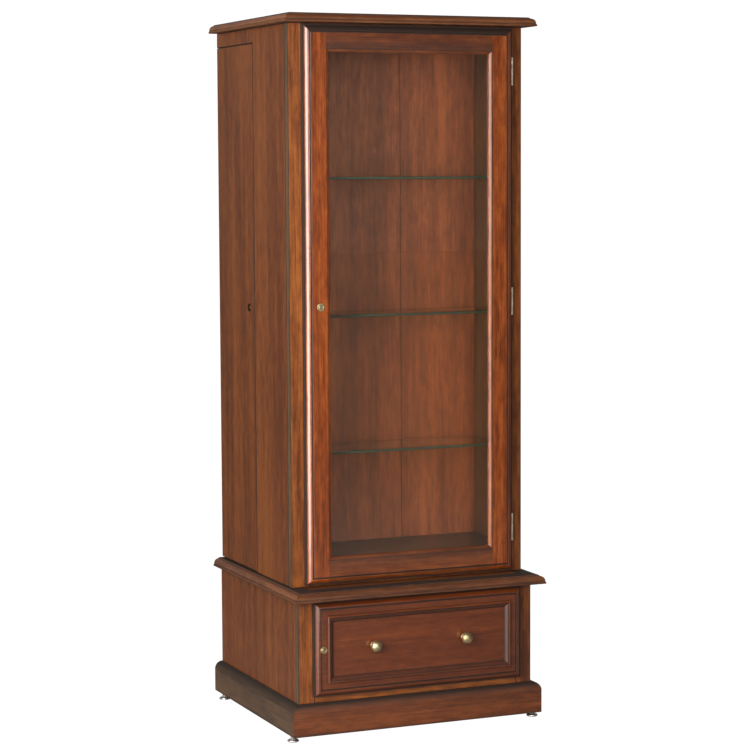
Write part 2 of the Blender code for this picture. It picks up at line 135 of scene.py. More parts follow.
# %% Set the studio
def add(tree, kind, links=(), **settings):
    """Add a node, set its properties and input defaults, and link its inputs."""
    node = tree.nodes.new(kind)
    for key, value in settings.items():
        if hasattr(node, key):
            setattr(node, key, value)
        else:
            node.inputs[key.replace("_", " ")].default_value = value
    for socket, source in dict(links).items():
        tree.links.new(source, node.inputs[socket])
    return node


def linear(hex_colour):
    """An sRGB colour written as RRGGBB, turned to the linear values that shaders take."""
    channels = [int(hex_colour[i:i + 2], 16) / 255 for i in (0, 2, 4)]
    return [c / 12.92 if c <= 0.04045 else ((c + 0.055) / 1.055) ** 2.4
            for c in channels] + [1.0]


def new_material(name):
    """A fresh material, its node tree and its main shader."""
    material = bpy.data.materials.new(name)
    material.use_nodes = True
    tree = material.node_tree
    return material, tree, tree.nodes["Principled BSDF"]


def burnt_out_rays(tree, first_bounce):
    """1 for a ray that reached here from the camera through nothing but glass, otherwise 0.

    A surface counts the ray that meets it as bounce 0 and the sky counts it as bounce 1.
    """
    path = add(tree, "ShaderNodeLightPath")
    bounces = add(tree, "ShaderNodeMath", {0: path.outputs["Ray Depth"],
                  1: path.outputs["Transmission Depth"]}, operation="SUBTRACT")
    straight = add(tree, "ShaderNodeMath", {0: bounces.outputs[0]}, operation="LESS_THAN")
    straight.inputs[1].default_value = first_bounce + 0.5
    return straight.outputs[0]


def softbox(name, place, width, length, power, colour):
    """A rectangular lamp that looks at the middle of the cabinet."""
    lamp = bpy.data.lights.new(name, "AREA")
    lamp.shape = "RECTANGLE"
    lamp.size = width
    lamp.size_y = length
    lamp.energy = power
    lamp.color = linear(colour)[:3]
    holder = bpy.data.objects.new(name, lamp)
    bpy.context.scene.collection.objects.link(holder)
    aim = (LAMP_TARGET - Vector(place)).to_track_quat("-Z", "Y").to_matrix().to_4x4()
    holder.matrix_world = Matrix.Translation(place) @ aim


LAMP_TARGET = Vector((0, -0.2, 0.9))
WHITE = (1.0, 1.0, 1.0, 1.0)
PAPER_LIGHT = 1.05
PAPER_GREY = (0.35, 0.35, 0.35, 1.0)   # how much light the floor gives back to the cabinet
PAPER_REACH = 30.0
ROOM_FRONT = (0.10, 0.098, 0.095, 1.0)
ROOM_REAR = (0.25, 0.242, 0.23, 1.0)

bpy.context.scene.view_settings.view_transform = "Standard"
world = bpy.data.worlds.new("paper_studio")
bpy.context.scene.world = world
world.use_nodes = True
sky = world.node_tree
sky.nodes.clear()
direction = add(sky, "ShaderNodeTexCoord")
toward = add(sky, "ShaderNodeSeparateXYZ", {0: direction.outputs["Generated"]})
shade = add(sky, "ShaderNodeValToRGB", {0: toward.outputs["Y"]})
shade.color_ramp.elements[0].color = ROOM_FRONT
shade.color_ramp.elements[1].position = 0.9
shade.color_ramp.elements[1].color = ROOM_REAR
room = add(sky, "ShaderNodeBackground", {"Color": shade.outputs["Color"]})
paper = add(sky, "ShaderNodeBackground", Color=WHITE, Strength=PAPER_LIGHT)
backdrop = add(sky, "ShaderNodeMixShader", {0: burnt_out_rays(sky, 1), 1: room.outputs[0],
                                            2: paper.outputs[0]})
add(sky, "ShaderNodeOutputWorld", {"Surface": backdrop.outputs[0]})
softbox("tall_softbox_left", (-2.3, -1.8, 1.1), 1.3, 2.6, 157, "FFF4EA")
softbox("front_softbox", (-0.9, -4.1, 1.6), 1.1, 1.1, 68, "FFF6EE")

floor_mesh = bpy.data.meshes.new("paper_floor")
floor_shape = bmesh.new()
bmesh.ops.create_grid(floor_shape, x_segments=1, y_segments=1, size=PAPER_REACH)
floor_shape.to_mesh(floor_mesh)
floor_shape.free()
floor = bpy.data.objects.new("paper_floor", floor_mesh)
floor.location.z = min(cad_box[0][2], 0.0)
bpy.context.scene.collection.objects.link(floor)
paper_sheet, sheet, sheet_shader = new_material("seamless_paper")
sheet_shader.inputs["Base Color"].default_value = PAPER_GREY
sheet_shader.inputs["Roughness"].default_value = 0.9
burnt_out = add(sheet, "ShaderNodeEmission", Color=WHITE, Strength=PAPER_LIGHT)
sheet_mix = add(sheet, "ShaderNodeMixShader", {0: burnt_out_rays(sheet, 0),
                1: sheet_shader.outputs[0], 2: burnt_out.outputs[0]})
sheet.links.new(sheet_mix.outputs[0], sheet.nodes["Material Output"].inputs["Surface"])
floor_mesh.materials.append(paper_sheet)
print("studio: 2 softboxes on white paper")

# %% [markdown]
# ## Cherry-stained wood
# Real boards differ, so each piece carries its own wood coordinates, in metres, with the
# grain along Z and a shift that no other board shares. A vector attribute called "grain"
# holds them, which lets one material serve boards that run in any direction. A second
# attribute says where the finisher left dark glaze in a groove or along an edge, and where
# shade is painted in as glaze: under the cornice, on the waist's top, across the plinth's
# top round and on the edges of the door and drawer fronts.
# Broad figure is 15 to 30 mm wide, and the fibres, really 0.3 mm, are drawn 2 to 3 mm wide
# so that they show.

# %% Make the wood finishes
# Each pattern's scale across and along the grain, per metre.
DRIFT = (9.0, 1.1)
FIGURE = (42.0, 1.9)
FIBRE = (420.0, 6.5)
PORES = (900.0, 75.0)
MOTTLE = (85.0, 24.0)
GLAZE_ROUGHNESS = 0.75
FIBRE_HEIGHT = 0.0004


def grain_noise(tree, grain, scale, detail, roughness=0.5):
    """Noise drawn out along the grain."""
    across, along = scale
    place = add(tree, "ShaderNodeMapping", {"Vector": grain}, Scale=(across, across, along))
    return add(tree, "ShaderNodeTexNoise", {"Vector": place.outputs[0]}, Scale=1.0,
               Detail=detail, Roughness=roughness)


def wood_finish(name, deep, middle, light, glaze_and_shade, sheen=0.30, lacquer=0.35, coat=0.24,
                contrast=0.32, relief=0.12):
    """Stained wood under satin lacquer: three tones for the grain and one for the glazing and the
    painted shade.
    """
    material, tree, shader = new_material(name)
    grain = add(tree, "ShaderNodeAttribute", attribute_name="grain").outputs["Vector"]
    drift = grain_noise(tree, grain, DRIFT, 2.0)
    fibre = grain_noise(tree, grain, FIBRE, 2.0, 0.6)
    pores = grain_noise(tree, grain, PORES, 1.0)
    mottle = grain_noise(tree, grain, MOTTLE, 3.0, 0.6)
    across, along = FIGURE
    straight = add(tree, "ShaderNodeMapping", {"Vector": grain}, Scale=(across, across, along))
    wander = add(tree, "ShaderNodeMix", {4: straight.outputs[0], 5: drift.outputs["Color"]},
                 data_type="VECTOR", Factor=0.35)
    figure = add(tree, "ShaderNodeTexNoise", {"Vector": wander.outputs[1]}, Scale=1.5,
                 Detail=3.0, Roughness=0.55)

    total = figure
    for layer in (fibre, drift, mottle):
        total = add(tree, "ShaderNodeMath", {0: total.outputs[0], 1: layer.outputs[0]},
                    operation="ADD")
    tone = add(tree, "ShaderNodeMapRange", {"Value": total.outputs[0]}, From_Min=2 - contrast,
               From_Max=2 + contrast)
    ramp = add(tree, "ShaderNodeValToRGB", {0: tone.outputs[0]})
    ramp.color_ramp.elements[0].color = linear(deep)
    ramp.color_ramp.elements[1].color = linear(light)
    ramp.color_ramp.elements.new(0.5).color = linear(middle)
    pore = add(tree, "ShaderNodeMapRange", {"Value": pores.outputs["Fac"]}, From_Min=0.62,
               From_Max=0.74, To_Max=0.42)
    pored = add(tree, "ShaderNodeMix", {0: pore.outputs[0], 6: ramp.outputs["Color"]},
                data_type="RGBA")
    pored.inputs[7].default_value = linear(glaze_and_shade)

    # A high glaze value moves the colour to the glaze tone: the finisher's glaze in grooves, and
    # painted shade where a profile asks for it.
    glaze_and_shade_mask = add(tree, "ShaderNodeAttribute", attribute_name="glaze_and_shade").outputs["Fac"]
    wiped_glaze_and_shade = add(tree, "ShaderNodeMath", {0: glaze_and_shade_mask, 1: drift.outputs["Fac"], 2: glaze_and_shade_mask},
                operation="MULTIPLY_ADD", use_clamp=True)
    glazed_and_shaded = add(tree, "ShaderNodeMix", {0: wiped_glaze_and_shade.outputs[0], 6: pored.outputs[2]},
                 data_type="RGBA")
    glazed_and_shaded.inputs[7].default_value = linear(glaze_and_shade)
    tree.links.new(glazed_and_shaded.outputs[2], shader.inputs["Base Color"])

    rough = add(tree, "ShaderNodeMapRange", {"Value": fibre.outputs["Fac"]}, To_Min=sheen,
                To_Max=sheen + 0.16)
    dull = add(tree, "ShaderNodeMapRange", {"Value": wiped_glaze_and_shade.outputs[0],
               "To Min": rough.outputs[0]}, To_Max=GLAZE_ROUGHNESS)
    tree.links.new(dull.outputs[0], shader.inputs["Roughness"])
    coated = add(tree, "ShaderNodeMapRange", {"Value": wiped_glaze_and_shade.outputs[0]}, To_Min=lacquer,
                 To_Max=0.0)
    tree.links.new(coated.outputs[0], shader.inputs["Coat Weight"])
    bump = add(tree, "ShaderNodeBump", {"Height": fibre.outputs["Fac"]}, Strength=relief,
               Distance=FIBRE_HEIGHT)
    tree.links.new(bump.outputs[0], shader.inputs["Normal"])
    shader.inputs["IOR"].default_value = 1.5
    shader.inputs["Coat Roughness"].default_value = coat
    return material


# Veneered sides: brown cherry, calmer than the frame. Mouldings: the same stain, greyer.
CASE_VENEER = wood_finish("cherry_veneer_sides", "48240E", "603314", "72411B", "1E110A", 0.40,
                          0.10, 0.34)
# The inner face of the right side takes a darker copy of the veneer: painted shade inside the case.
INNER_SIDE_SHADE = wood_finish("cherry_inner_side_painted_shade", "33180A", "43230F", "512E16", "160C07", 0.45, 0.0)
TOP_MOULDING = wood_finish("cherry_mouldings", "4C2814", "643A20", "784A2A", "20120B")
PLINTH_WOOD = wood_finish("cherry_plinth", "4C240C", "673313", "7B411C", "22150E")
PLINTH_END = wood_finish("cherry_plinth_returns", "352314", "4A331E", "5C4228", "1E150E",
                         contrast=0.24)
CORNICE_WOOD = wood_finish("cherry_cornice", "5C3319", "794928", "8E5C36", "26160C")
# Solid face frame, door and drawer: a redder, brighter stain on poplar or birch.
FRAME_WOOD = wood_finish("stained_face_frame", "4E260C", "6E3B14", "8A501F", "26150B", 0.28)
# The stiles' outer side faces take a greyer copy of the frame stain: a painted grazing reflection.
FRAME_SIDE_REFLECTION = wood_finish("frame_side_painted_reflection", "3B2C1E", "4E3E2B", "604A32", "20150D", 0.36, 0.1)
DOOR_WOOD = wood_finish("stained_door_stiles", "582609", "7D3B13", "9A5220", "24130A", 0.22,
                        0.7, 0.13)
RAIL_WOOD = wood_finish("stained_door_rails", "4A2310", "653317", "7C4420", "22120A", 0.24, 0.6,
                        0.14)
DRAWER_WOOD = wood_finish("stained_drawer_wood", "431C08", "5B290F", "6F3817", "20120B", 0.24,
                          0.6, 0.14, 0.5)
# Inside: plain boards with no gloss coat over the stain.
INSIDE_WOOD = wood_finish("cherry_display_back", "4D210D", "692F14", "83401D", "24130B", 0.45,
                          0.0, contrast=0.42, relief=0.02)
# The display floor is stained almost black under a light coat: painted shade where little light
# reaches.
DISPLAY_FLOOR_SHADE = wood_finish("display_floor_painted_shade", "1C110B", "291911", "382318", "120A07", 0.30,
                            0.3)
# The rack and the drawer box: bare birch plywood, pale and dull.
BARE_PLY = wood_finish("bare_birch_plywood", "B58C5C", "CBA575", "D9B98C", "8A6238", 0.6, 0.0)
print("finishes so far:", len(bpy.data.materials))

# %% [markdown]
# ## Brass, steel and glass
# The locks, hinges and knobs are antique brass, toned unevenly, so light and dark patches
# mix. The glides and runners are zinc-plated steel. The door pane and the shelves are float
# glass, clear through the face and green where one looks into the edge.

# %% Make the metals and the glass
def cloudy_colour(tree, shader, scale, dark, bright):
    """Let the shader's colour drift between two tones."""
    place = add(tree, "ShaderNodeTexCoord").outputs["Object"]
    cloud = add(tree, "ShaderNodeTexNoise", {"Vector": place}, Scale=scale)
    ramp = add(tree, "ShaderNodeValToRGB", {0: cloud.outputs["Fac"]})
    ramp.color_ramp.elements[0].color = linear(dark)
    ramp.color_ramp.elements[1].color = linear(bright)
    tree.links.new(ramp.outputs["Color"], shader.inputs["Base Color"])
    return cloud, ramp.color_ramp.elements


def metal_finish(name, dark, bright, rough_low, rough_high, patch):
    """A toned or plated metal; patch is the size of its cloudy variation in metres."""
    material, tree, shader = new_material(name)
    cloud, tones = cloudy_colour(tree, shader, 1 / patch, dark, bright)
    cloud.inputs["Detail"].default_value = 4.0
    tones[0].position = 0.34
    tones[1].position = 0.62
    rough = add(tree, "ShaderNodeMapRange", {"Value": cloud.outputs["Fac"]}, From_Min=0.3,
                From_Max=0.7, To_Min=rough_high, To_Max=rough_low)
    tree.links.new(rough.outputs[0], shader.inputs["Roughness"])
    shader.inputs["Metallic"].default_value = 1.0
    return material


def clear_glass(name, tint):
    """Clear glass that lets lamps through, so that what is behind it stays lit."""
    material, tree, shader = new_material(name)
    shader.inputs["Base Color"].default_value = linear(tint)
    shader.inputs["Roughness"].default_value = 0.0
    shader.inputs["IOR"].default_value = 1.52
    shader.inputs["Transmission Weight"].default_value = 1.0
    clear = add(tree, "ShaderNodeBsdfTransparent", Color=linear(tint))
    ray = add(tree, "ShaderNodeLightPath")
    choice = add(tree, "ShaderNodeMixShader", {0: ray.outputs["Is Shadow Ray"],
                                               1: shader.outputs[0], 2: clear.outputs[0]})
    tree.links.new(choice.outputs[0], tree.nodes["Material Output"].inputs["Surface"])
    return material


def ground_glass_edge(name, dark, bright):
    """The green edge of a glass shelf, where the grinding hides what is behind."""
    material, tree, shader = new_material(name)
    cloudy_colour(tree, shader, 40.0, dark, bright)
    shader.inputs["Roughness"].default_value = 0.30
    return material


BRASS = metal_finish("antique_brass", "9A8A5E", "CFC29C", 0.38, 0.50, 0.009)
# The hinges' pale tone is partly their own satin finish and partly a painted highlight on the
# barrel, which the door keeps from the left lamp.
PALE_BRASS_AND_HIGHLIGHT = metal_finish("satin_brass_hinges_and_painted_highlight", "D8CDB4", "F4EDDD", 0.50, 0.65, 0.012)
DARK_BRASS = metal_finish("oil_rubbed_brass", "2E2219", "5B452C", 0.30, 0.50, 0.005)
ZINC = metal_finish("zinc_plated_steel", "B9BABB", "E3E3E1", 0.35, 0.55, 0.010)
CLEAR_GLASS = clear_glass("float_glass", "F4FBF7")
GLASS_EDGE = ground_glass_edge("ground_glass_edge", "1B231C", "323D33")
print("metals and glass ready")

# %% [markdown]
# ## From shape to piece
# Each wooden piece starts as a bmesh in its place in the cabinet. The function below turns it
# into an object, writes its wood coordinates, and ties it to the body that it moves with. A
# random shift, from a fixed seed, gives every board its own figure.

# %% Write the finishing function
SHIFTS = random.Random(68)


def set_grain(mesh, along):
    """Write wood coordinates with Z along the grain, shifted to this board's own place."""
    shift = [SHIFTS.uniform(-9, 9) for _ in range(3)]
    order = {"x": (1, 2, 0), "y": (2, 0, 1), "z": (0, 1, 2)}[along]
    values = []
    for vertex in mesh.vertices:
        values += [vertex.co[axis] + shift[i] for i, axis in enumerate(order)]
    mesh.attributes.new("grain", "FLOAT_VECTOR", "POINT").data.foreach_set("vector", values)


def make_piece(name, shape, body, material, along=None, stands_for=(), angle=30):
    """Turn a bmesh into a finished piece that rides on a body and stands for CAD parts."""
    bmesh.ops.recalc_face_normals(shape, faces=shape.faces)
    mesh = bpy.data.meshes.new(name)
    shape.to_mesh(mesh)
    shape.free()
    mesh.set_sharp_from_angle(angle=math.radians(angle))
    if along:
        set_grain(mesh, along)
    for finish in material if isinstance(material, (list, tuple)) else [material]:
        mesh.materials.append(finish)
    piece = bpy.data.objects.new(name, mesh)
    bpy.context.scene.collection.objects.link(piece)
    flatten = piece.modifiers.new("flat_faces_stay_flat", "WEIGHTED_NORMAL")
    flatten.keep_sharp = True
    ready = piece.evaluated_get(bpy.context.evaluated_depsgraph_get())
    piece.data = bpy.data.meshes.new_from_object(ready)
    piece.modifiers.clear()
    bpy.data.meshes.remove(mesh)
    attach(piece, body)
    if stands_for:
        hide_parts(*stands_for)
    return piece


def glaze_and_shade_layer(shape):
    return shape.loops.layers.float.get("glaze_and_shade") or shape.loops.layers.float.new("glaze_and_shade")


def ease_arrises(shape, ease, segments, glaze_and_shade):
    """Round every edge of a block. The rounding keeps some glaze; the faces stay clean."""
    layer = glaze_and_shade_layer(shape)
    made = bmesh.ops.bevel(shape, geom=shape.edges[:], offset=ease, segments=segments,
                           profile=0.5, affect="EDGES")
    for face in made["faces"]:
        for loop in face.loops:
            loop[layer] = glaze_and_shade
    return shape


def eased_block(low, high, ease, glaze_and_shade=0.35, segments=2):
    """A board with its arrises eased."""
    part = bmesh.new()
    glaze_and_shade_layer(part)
    bmesh.ops.create_cube(part, size=1.0)
    size = Vector(high) - Vector(low)
    bmesh.ops.scale(part, vec=size, verts=part.verts)
    bmesh.ops.translate(part, vec=(Vector(low) + Vector(high)) / 2, verts=part.verts)
    return ease_arrises(part, min(ease, 0.45 * min(size)), segments, glaze_and_shade)


def join_into(shape, part):
    """Add one bmesh to another."""
    holder = bpy.data.meshes.new("joining")
    part.to_mesh(holder)
    part.free()
    shape.from_mesh(holder)
    bpy.data.meshes.remove(holder)
    return shape


def skin(outlines, glaze_and_shade_values, end_glaze=0.0):
    """Close the sides and the ends between two outlines with the same number of points."""
    shape = bmesh.new()
    layer = glaze_and_shade_layer(shape)
    first, last = [[shape.verts.new(point) for point in outline] for outline in outlines]
    for i in range(len(glaze_and_shade_values)):
        j = (i + 1) % len(glaze_and_shade_values)
        face = shape.faces.new((first[i], first[j], last[j], last[i]))
        for loop, k in zip(face.loops, (i, j, j, i)):
            loop[layer] = glaze_and_shade_values[k]
    for outline in (first, last):
        for loop in shape.faces.new(outline).loops:
            loop[layer] = end_glaze
    return shape


def board(node, body, material, along, ease):
    """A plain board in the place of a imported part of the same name."""
    shape = eased_block(*corners(node), ease)
    return make_piece(node + "_board", shape, body, material, along, [node])


print("board shifts start at", round(SHIFTS.uniform(0, 1), 3))

# %% [markdown]
# ## Mouldings that turn a corner
# The cornice, the waist board and the plinth each show one profile on three sides. A maker
# runs the profile on long sticks and mitres them, so each stick here is its own piece with
# its own grain. A profile point lies some way out from the case and some way up, and at a
# mitre it simply moves out along both sides at once.

# %% Run the mitred sticks
def arc(centre, radius, start, end, steps):
    """Points on a circle, from one angle to another in degrees."""
    turns = [math.radians(start + (end - start) * i / steps) for i in range(steps + 1)]
    return [(centre[0] + radius * math.cos(t), centre[1] + radius * math.sin(t))
            for t in turns]


def mitred_sticks(name, profile, half, front, low, finishes, stands_for):
    """Three sticks round the left, front and right of a rectangle, mitred at the front."""
    def corner(side, out_gap, back_gap):
        return lambda out, up: (side * (half + out - out_gap), front - out + back_gap, low + up)

    def rear(side):
        return lambda out, up: (side * (half + out), BACK, low + up)

    front_finish, side_finish = finishes
    runs = (("front", corner(-1, MITRE_GAP, 0), corner(1, MITRE_GAP, 0), "x", front_finish),
            ("left", corner(-1, 0, MITRE_GAP), rear(-1), "y", side_finish),
            ("right", corner(1, 0, MITRE_GAP), rear(1), "y", side_finish))
    glaze_and_shade_values = [glaze_and_shade for _, _, glaze_and_shade in profile]
    for label, start, end, along, finish in runs:
        outlines = [[rule(out, up) for out, up, _ in profile] for rule in (start, end)]
        make_piece(f"{name}_{label}_stick", skin(outlines, glaze_and_shade_values, 0.5), "cabinet",
                   finish, along, stands_for.get(label, ()))


MITRE_GAP = 0.00012
LIPPING = 0.034
HEIGHT_OF_EDGE = WAIST_HIGH.z - WAIST_LOW.z
# The heavy glaze on the top flat and along the underside is painted shade: the waist's top lies in
# shadow under the door, and the undersides face away from the lamps. The glaze in the fillets is
# the finisher's own.
EDGE = [(-LIPPING, 0.0, 0.1), (0.0185, 0.0, 0.6)]
EDGE += [(out, up, 0.25) for out, up in arc((0.0190, 0.0029), 0.0029, -80, 60, 6)]
EDGE += [(0.0196, 0.0062, 0.55), (0.0195, 0.0075, 0.45)]
EDGE += [(out, up, 0.12) for out, up in arc((0.0085, 0.0080), 0.0112, 4, 86, 10)]
EDGE += [(0.0092, 0.0198, 0.6), (0.0080, 0.0200, 0.7), (0.0072, 0.0214, 0.2),
         (0.0062, HEIGHT_OF_EDGE, 0.3), (0.0030, HEIGHT_OF_EDGE, 0.75),
         (-LIPPING, HEIGHT_OF_EDGE, 0.85)]


def edged_top(name, half, front, low, finish):
    """A top board: a veneered panel inside three mitred, moulded sticks."""
    mitred_sticks(name, EDGE, half, front, low, (finish, finish), {"front": [name + "_board"]})
    inner = LIPPING + 0.0002
    panel = eased_block((-half + inner, front + inner, low),
                        (half - inner, BACK, low + HEIGHT_OF_EDGE), 0.0004, 0.3)
    make_piece(name + "_panel", panel, "cabinet", CASE_VENEER, "x")


DOOR_STANDS_OUT = CASE_FRONT - DOOR_FACE
edged_top("cornice", CASE_HALF, DOOR_FACE, CORNICE_LOW.z, CORNICE_WOOD)
edged_top("waist", BASE_HALF, BASE_FRONT - DOOR_STANDS_OUT, WAIST_LOW.z, TOP_MOULDING)

PLINTH_BOX = corners("plinth_front")
PLINTH_OUT = -PLINTH_BOX[0].x - BASE_HALF
PLINTH_HEIGHT = PLINTH_BOX[1].z - PLINTH_BOX[0].z
ROUND = PLINTH_OUT - 0.0010
PLINTH = [(0.0003, 0.0, 0.3), (PLINTH_OUT - 0.001, 0.0, 0.7), (PLINTH_OUT, 0.001, 0.45),
          (PLINTH_OUT, 0.008, 0.1)]
# The glaze across the top round rises towards the top: painted shade, darker towards the top.
PLINTH += [(out, up, 0.22 + 0.07 * i) for i, (out, up) in enumerate(
    arc((PLINTH_OUT - ROUND, PLINTH_HEIGHT - ROUND), ROUND, 0, 90, 10))]
PLINTH += [(0.0003, PLINTH_HEIGHT, 0.95)]
mitred_sticks("plinth", PLINTH, BASE_HALF, BASE_FRONT, PLINTH_BOX[0].z,
              (PLINTH_WOOD, PLINTH_END),
              {side: ["plinth_" + side] for side in ("front", "left", "right")})

# %% [markdown]
# ## Plain boards
# Most of the carcass is flat boards. Each one gets a 0.4 to 1.4 mm ease on its arrises,
# because a knife-sharp edge would catch no light at all. The boards are listed with the
# direction of their grain.

# %% Cut the plain boards
BOARDS = (
    ("cabinet", "case_wood", CASE_VENEER, "z", 0.0006, ("base_left_side", "base_right_side")),
    ("cabinet", "frame_wood", FRAME_WOOD, "x", 0.0008,
     ("upper_top_rail", "upper_bottom_rail", "base_bottom_rail")),
    # The display floor takes the almost black stain, painted shade.
    ("cabinet", "interior_wood", DISPLAY_FLOOR_SHADE, "x", 0.0008, ("display_floor_board",)),
    ("cabinet", "raw_plywood", BARE_PLY, "z", 0.0005, ("slider_jamb",)),
    ("drawer", "raw_plywood", BARE_PLY, "y", 0.0008,
     ("drawer_left_side", "drawer_right_side", "drawer_bottom")),
    ("drawer", "raw_plywood", BARE_PLY, "x", 0.0008, ("drawer_back",)),
    ("pull_out_rack", "raw_plywood", BARE_PLY, "x", 0.0010, ("slider_tray_board",)),
    ("pull_out_rack", "raw_plywood", BARE_PLY, "z", 0.0010, ("slider_far_post",)),
)
for body, slot, material, along, ease, nodes in BOARDS:
    for node in nodes:
        board(node, body, material, along, ease)

EDGE_GLAZE = 0.85                  # the finisher left the face frame's arrises dark
for level in ("upper", "base"):
    for side, hand in ((-1, "left"), (1, "right")):
        node = f"{level}_{hand}_stile"
        low, high = corners(node)
        stile = eased_block(low, high, 0.0014, EDGE_GLAZE, segments=3)
        # The outer side face takes the greyer copy of the stain, a painted grazing reflection.
        for face in stile.faces:
            face.material_index = 1 if face.normal.x * side > 0.9 else 0
        make_piece(node + "_board", stile, "cabinet", [FRAME_WOOD, FRAME_SIDE_REFLECTION],
                   "z", [node])

low, high = corners("right_side_panel")
right_side = eased_block(low, high, 0.0008)
# The inner face takes the darker copy of the veneer, painted shade inside the case.
for face in right_side.faces:
    face.material_index = 1 if face.normal.x < -0.9 else 0
make_piece("right_side_board", right_side, "cabinet", [CASE_VENEER, INNER_SIDE_SHADE],
           "z", ["right_side_panel"])

BACK_JOINT = 0.081                 # the display back is two boards, butted off centre
low, high = corners("display_back_panel")
left_board = eased_block(low, (BACK_JOINT - 0.0002, high.y, high.z), 0.0005, 0.9)
make_piece("display_back_wide_board", left_board, "cabinet", INSIDE_WOOD, "z",
           ["display_back_panel"])
right_board = eased_block((BACK_JOINT + 0.0002, low.y, low.z), high, 0.0005, 0.9)
make_piece("display_back_narrow_board", right_board, "cabinet", INSIDE_WOOD,
           "z")

BACK_RECESS = 0.0005               # keeps the nail heads inside the cabinet's depth
for node in ("upper_back_panel", "base_back_panel"):
    low, high = corners(node)
    high.y -= BACK_RECESS
    panel = eased_block(low, high, 0.0004)
    make_piece(node + "_board", panel, "cabinet", BARE_PLY, "z", [node])

# %% [markdown]
# ## Shaped boards
# The left side is L-shaped, because the end panel of the pull-out rack fills its lower rear
# part. The rack's rest rail has four notches for what stands in it. Both are outlines sawn
# from board, and the holes for the locks are drilled with a Boolean.

# %% Cut the shaped boards
def prism(points, along, low, high, ease, glaze_and_shade=0.35):
    """Extrude an outline along an axis and ease its arrises."""
    def place(a, b, t):
        return {"x": (t, a, b), "y": (a, t, b), "z": (a, b, t)}[along]

    outlines = [[place(a, b, t) for a, b in points] for t in (low, high)]
    part = skin(outlines, [0.0] * len(points))
    bmesh.ops.recalc_face_normals(part, faces=part.faces)
    return ease_arrises(part, ease, 2, glaze_and_shade)


def cut(shape, tool):
    """Take one closed shape away from another with an exact Boolean."""
    holders = []
    for part in (shape, tool):
        bmesh.ops.recalc_face_normals(part, faces=part.faces)
        mesh = bpy.data.meshes.new("cutting")
        part.to_mesh(mesh)
        part.free()
        holder = bpy.data.objects.new("cutting", mesh)
        bpy.context.scene.collection.objects.link(holder)
        holders.append(holder)
    knife = holders[0].modifiers.new("cut", "BOOLEAN")
    knife.operation = "DIFFERENCE"
    knife.solver = "EXACT"
    knife.object = holders[1]
    ready = holders[0].evaluated_get(bpy.context.evaluated_depsgraph_get())
    made = bpy.data.meshes.new_from_object(ready)
    result = bmesh.new()
    result.from_mesh(made)
    for holder in holders:
        bpy.data.objects.remove(holder)
    return result


def facing(direction):
    """A turn that takes +Z to a direction and keeps +Y up where it can."""
    turns = {"-y": Matrix.Rotation(math.pi / 2, 4, "X"),
             "+y": Matrix.Rotation(-math.pi / 2, 4, "X"),
             "-x": Matrix.Rotation(-math.pi / 2, 4, "Y"),
             "+x": Matrix.Rotation(math.pi / 2, 4, "Y")}
    return turns[direction]


def drill(shape, radius, centre, direction, depth=0.08):
    tool = bmesh.new()
    bmesh.ops.create_cone(tool, cap_ends=True, segments=40, radius1=radius, radius2=radius,
                          depth=depth, matrix=Matrix.Translation(centre) @ facing(direction))
    return cut(shape, tool)


SIDE_LOW, SIDE_HIGH = corners("left_side_panel")
END_LOW, END_HIGH = corners("slider_end_panel")
BACK_HIGH = corners("display_back_panel")[1]
GROOVE_EASE = 0.0016               # the groove round the rack's end panel is a dark V
RAIL_UNDERSIDE = END_HIGH.z + 0.002
outline = ((SIDE_LOW.y, SIDE_LOW.z), (BACK_HIGH.y, SIDE_LOW.z), (BACK_HIGH.y, RAIL_UNDERSIDE),
           (BACK, RAIL_UNDERSIDE), (BACK, SIDE_HIGH.z), (SIDE_LOW.y, SIDE_HIGH.z))
left_side = prism(outline, "x", SIDE_LOW.x, SIDE_HIGH.x, GROOVE_EASE, 1.0)
make_piece("left_side_board", left_side, "cabinet", CASE_VENEER, "z",
           ["left_side_panel"])

LOCK_PLACES = {}
for lock in ("door", "drawer", "side"):
    low, high = corners(lock + "_lock_body")
    LOCK_PLACES[lock] = (low + high) / 2
BORE = (corners("door_lock_body")[1].z - corners("door_lock_body")[0].z) / 2 - 0.0017
END_TOP = Vector((END_HIGH.x, END_HIGH.y, RAIL_UNDERSIDE - 0.0006))
rack_end = eased_block(END_LOW, END_TOP, GROOVE_EASE, 1.0)
rack_end = drill(rack_end, BORE, LOCK_PLACES["side"], "-x")
make_piece("slider_end_board", rack_end, "pull_out_rack", CASE_VENEER, "z",
           ["slider_end_panel"])

REST_LOW, REST_HIGH = corners("slider_rest_rail")
NOTCH_STEP = 0.137
FIRST_NOTCH = -0.217
NOTCH_HALF = 0.020
NOTCH_END = REST_LOW.y + 0.030
rest = [(REST_LOW.x, REST_LOW.y)]
for index in range(4):
    middle = FIRST_NOTCH + NOTCH_STEP * index
    left, right = middle - NOTCH_HALF, middle + NOTCH_HALF
    rest += [(left, REST_LOW.y), (left, NOTCH_END), (right, NOTCH_END), (right, REST_LOW.y)]
rest += [(REST_HIGH.x, REST_LOW.y), (REST_HIGH.x, REST_HIGH.y), (REST_LOW.x, REST_HIGH.y)]
make_piece("slider_rest_rail_board", prism(rest, "z", REST_LOW.z, REST_HIGH.z, 0.0010),
           "pull_out_rack", BARE_PLY, "x", ["slider_rest_rail"])
print("lock bore", round(2000 * BORE, 1), "mm across")

# %% [markdown]
# ## The door
# The stiles run the full height and the rails butt between them. The outer moulding is cut
# after the door is glued up: an ovolo standing on a square step, then a quirk, which is the
# narrow groove that glaze fills. It turns the corners on the stiles, so each stile is lofted
# from U-shaped lines. The inner lip is mitred where stile and rail meet, and laps the glass.

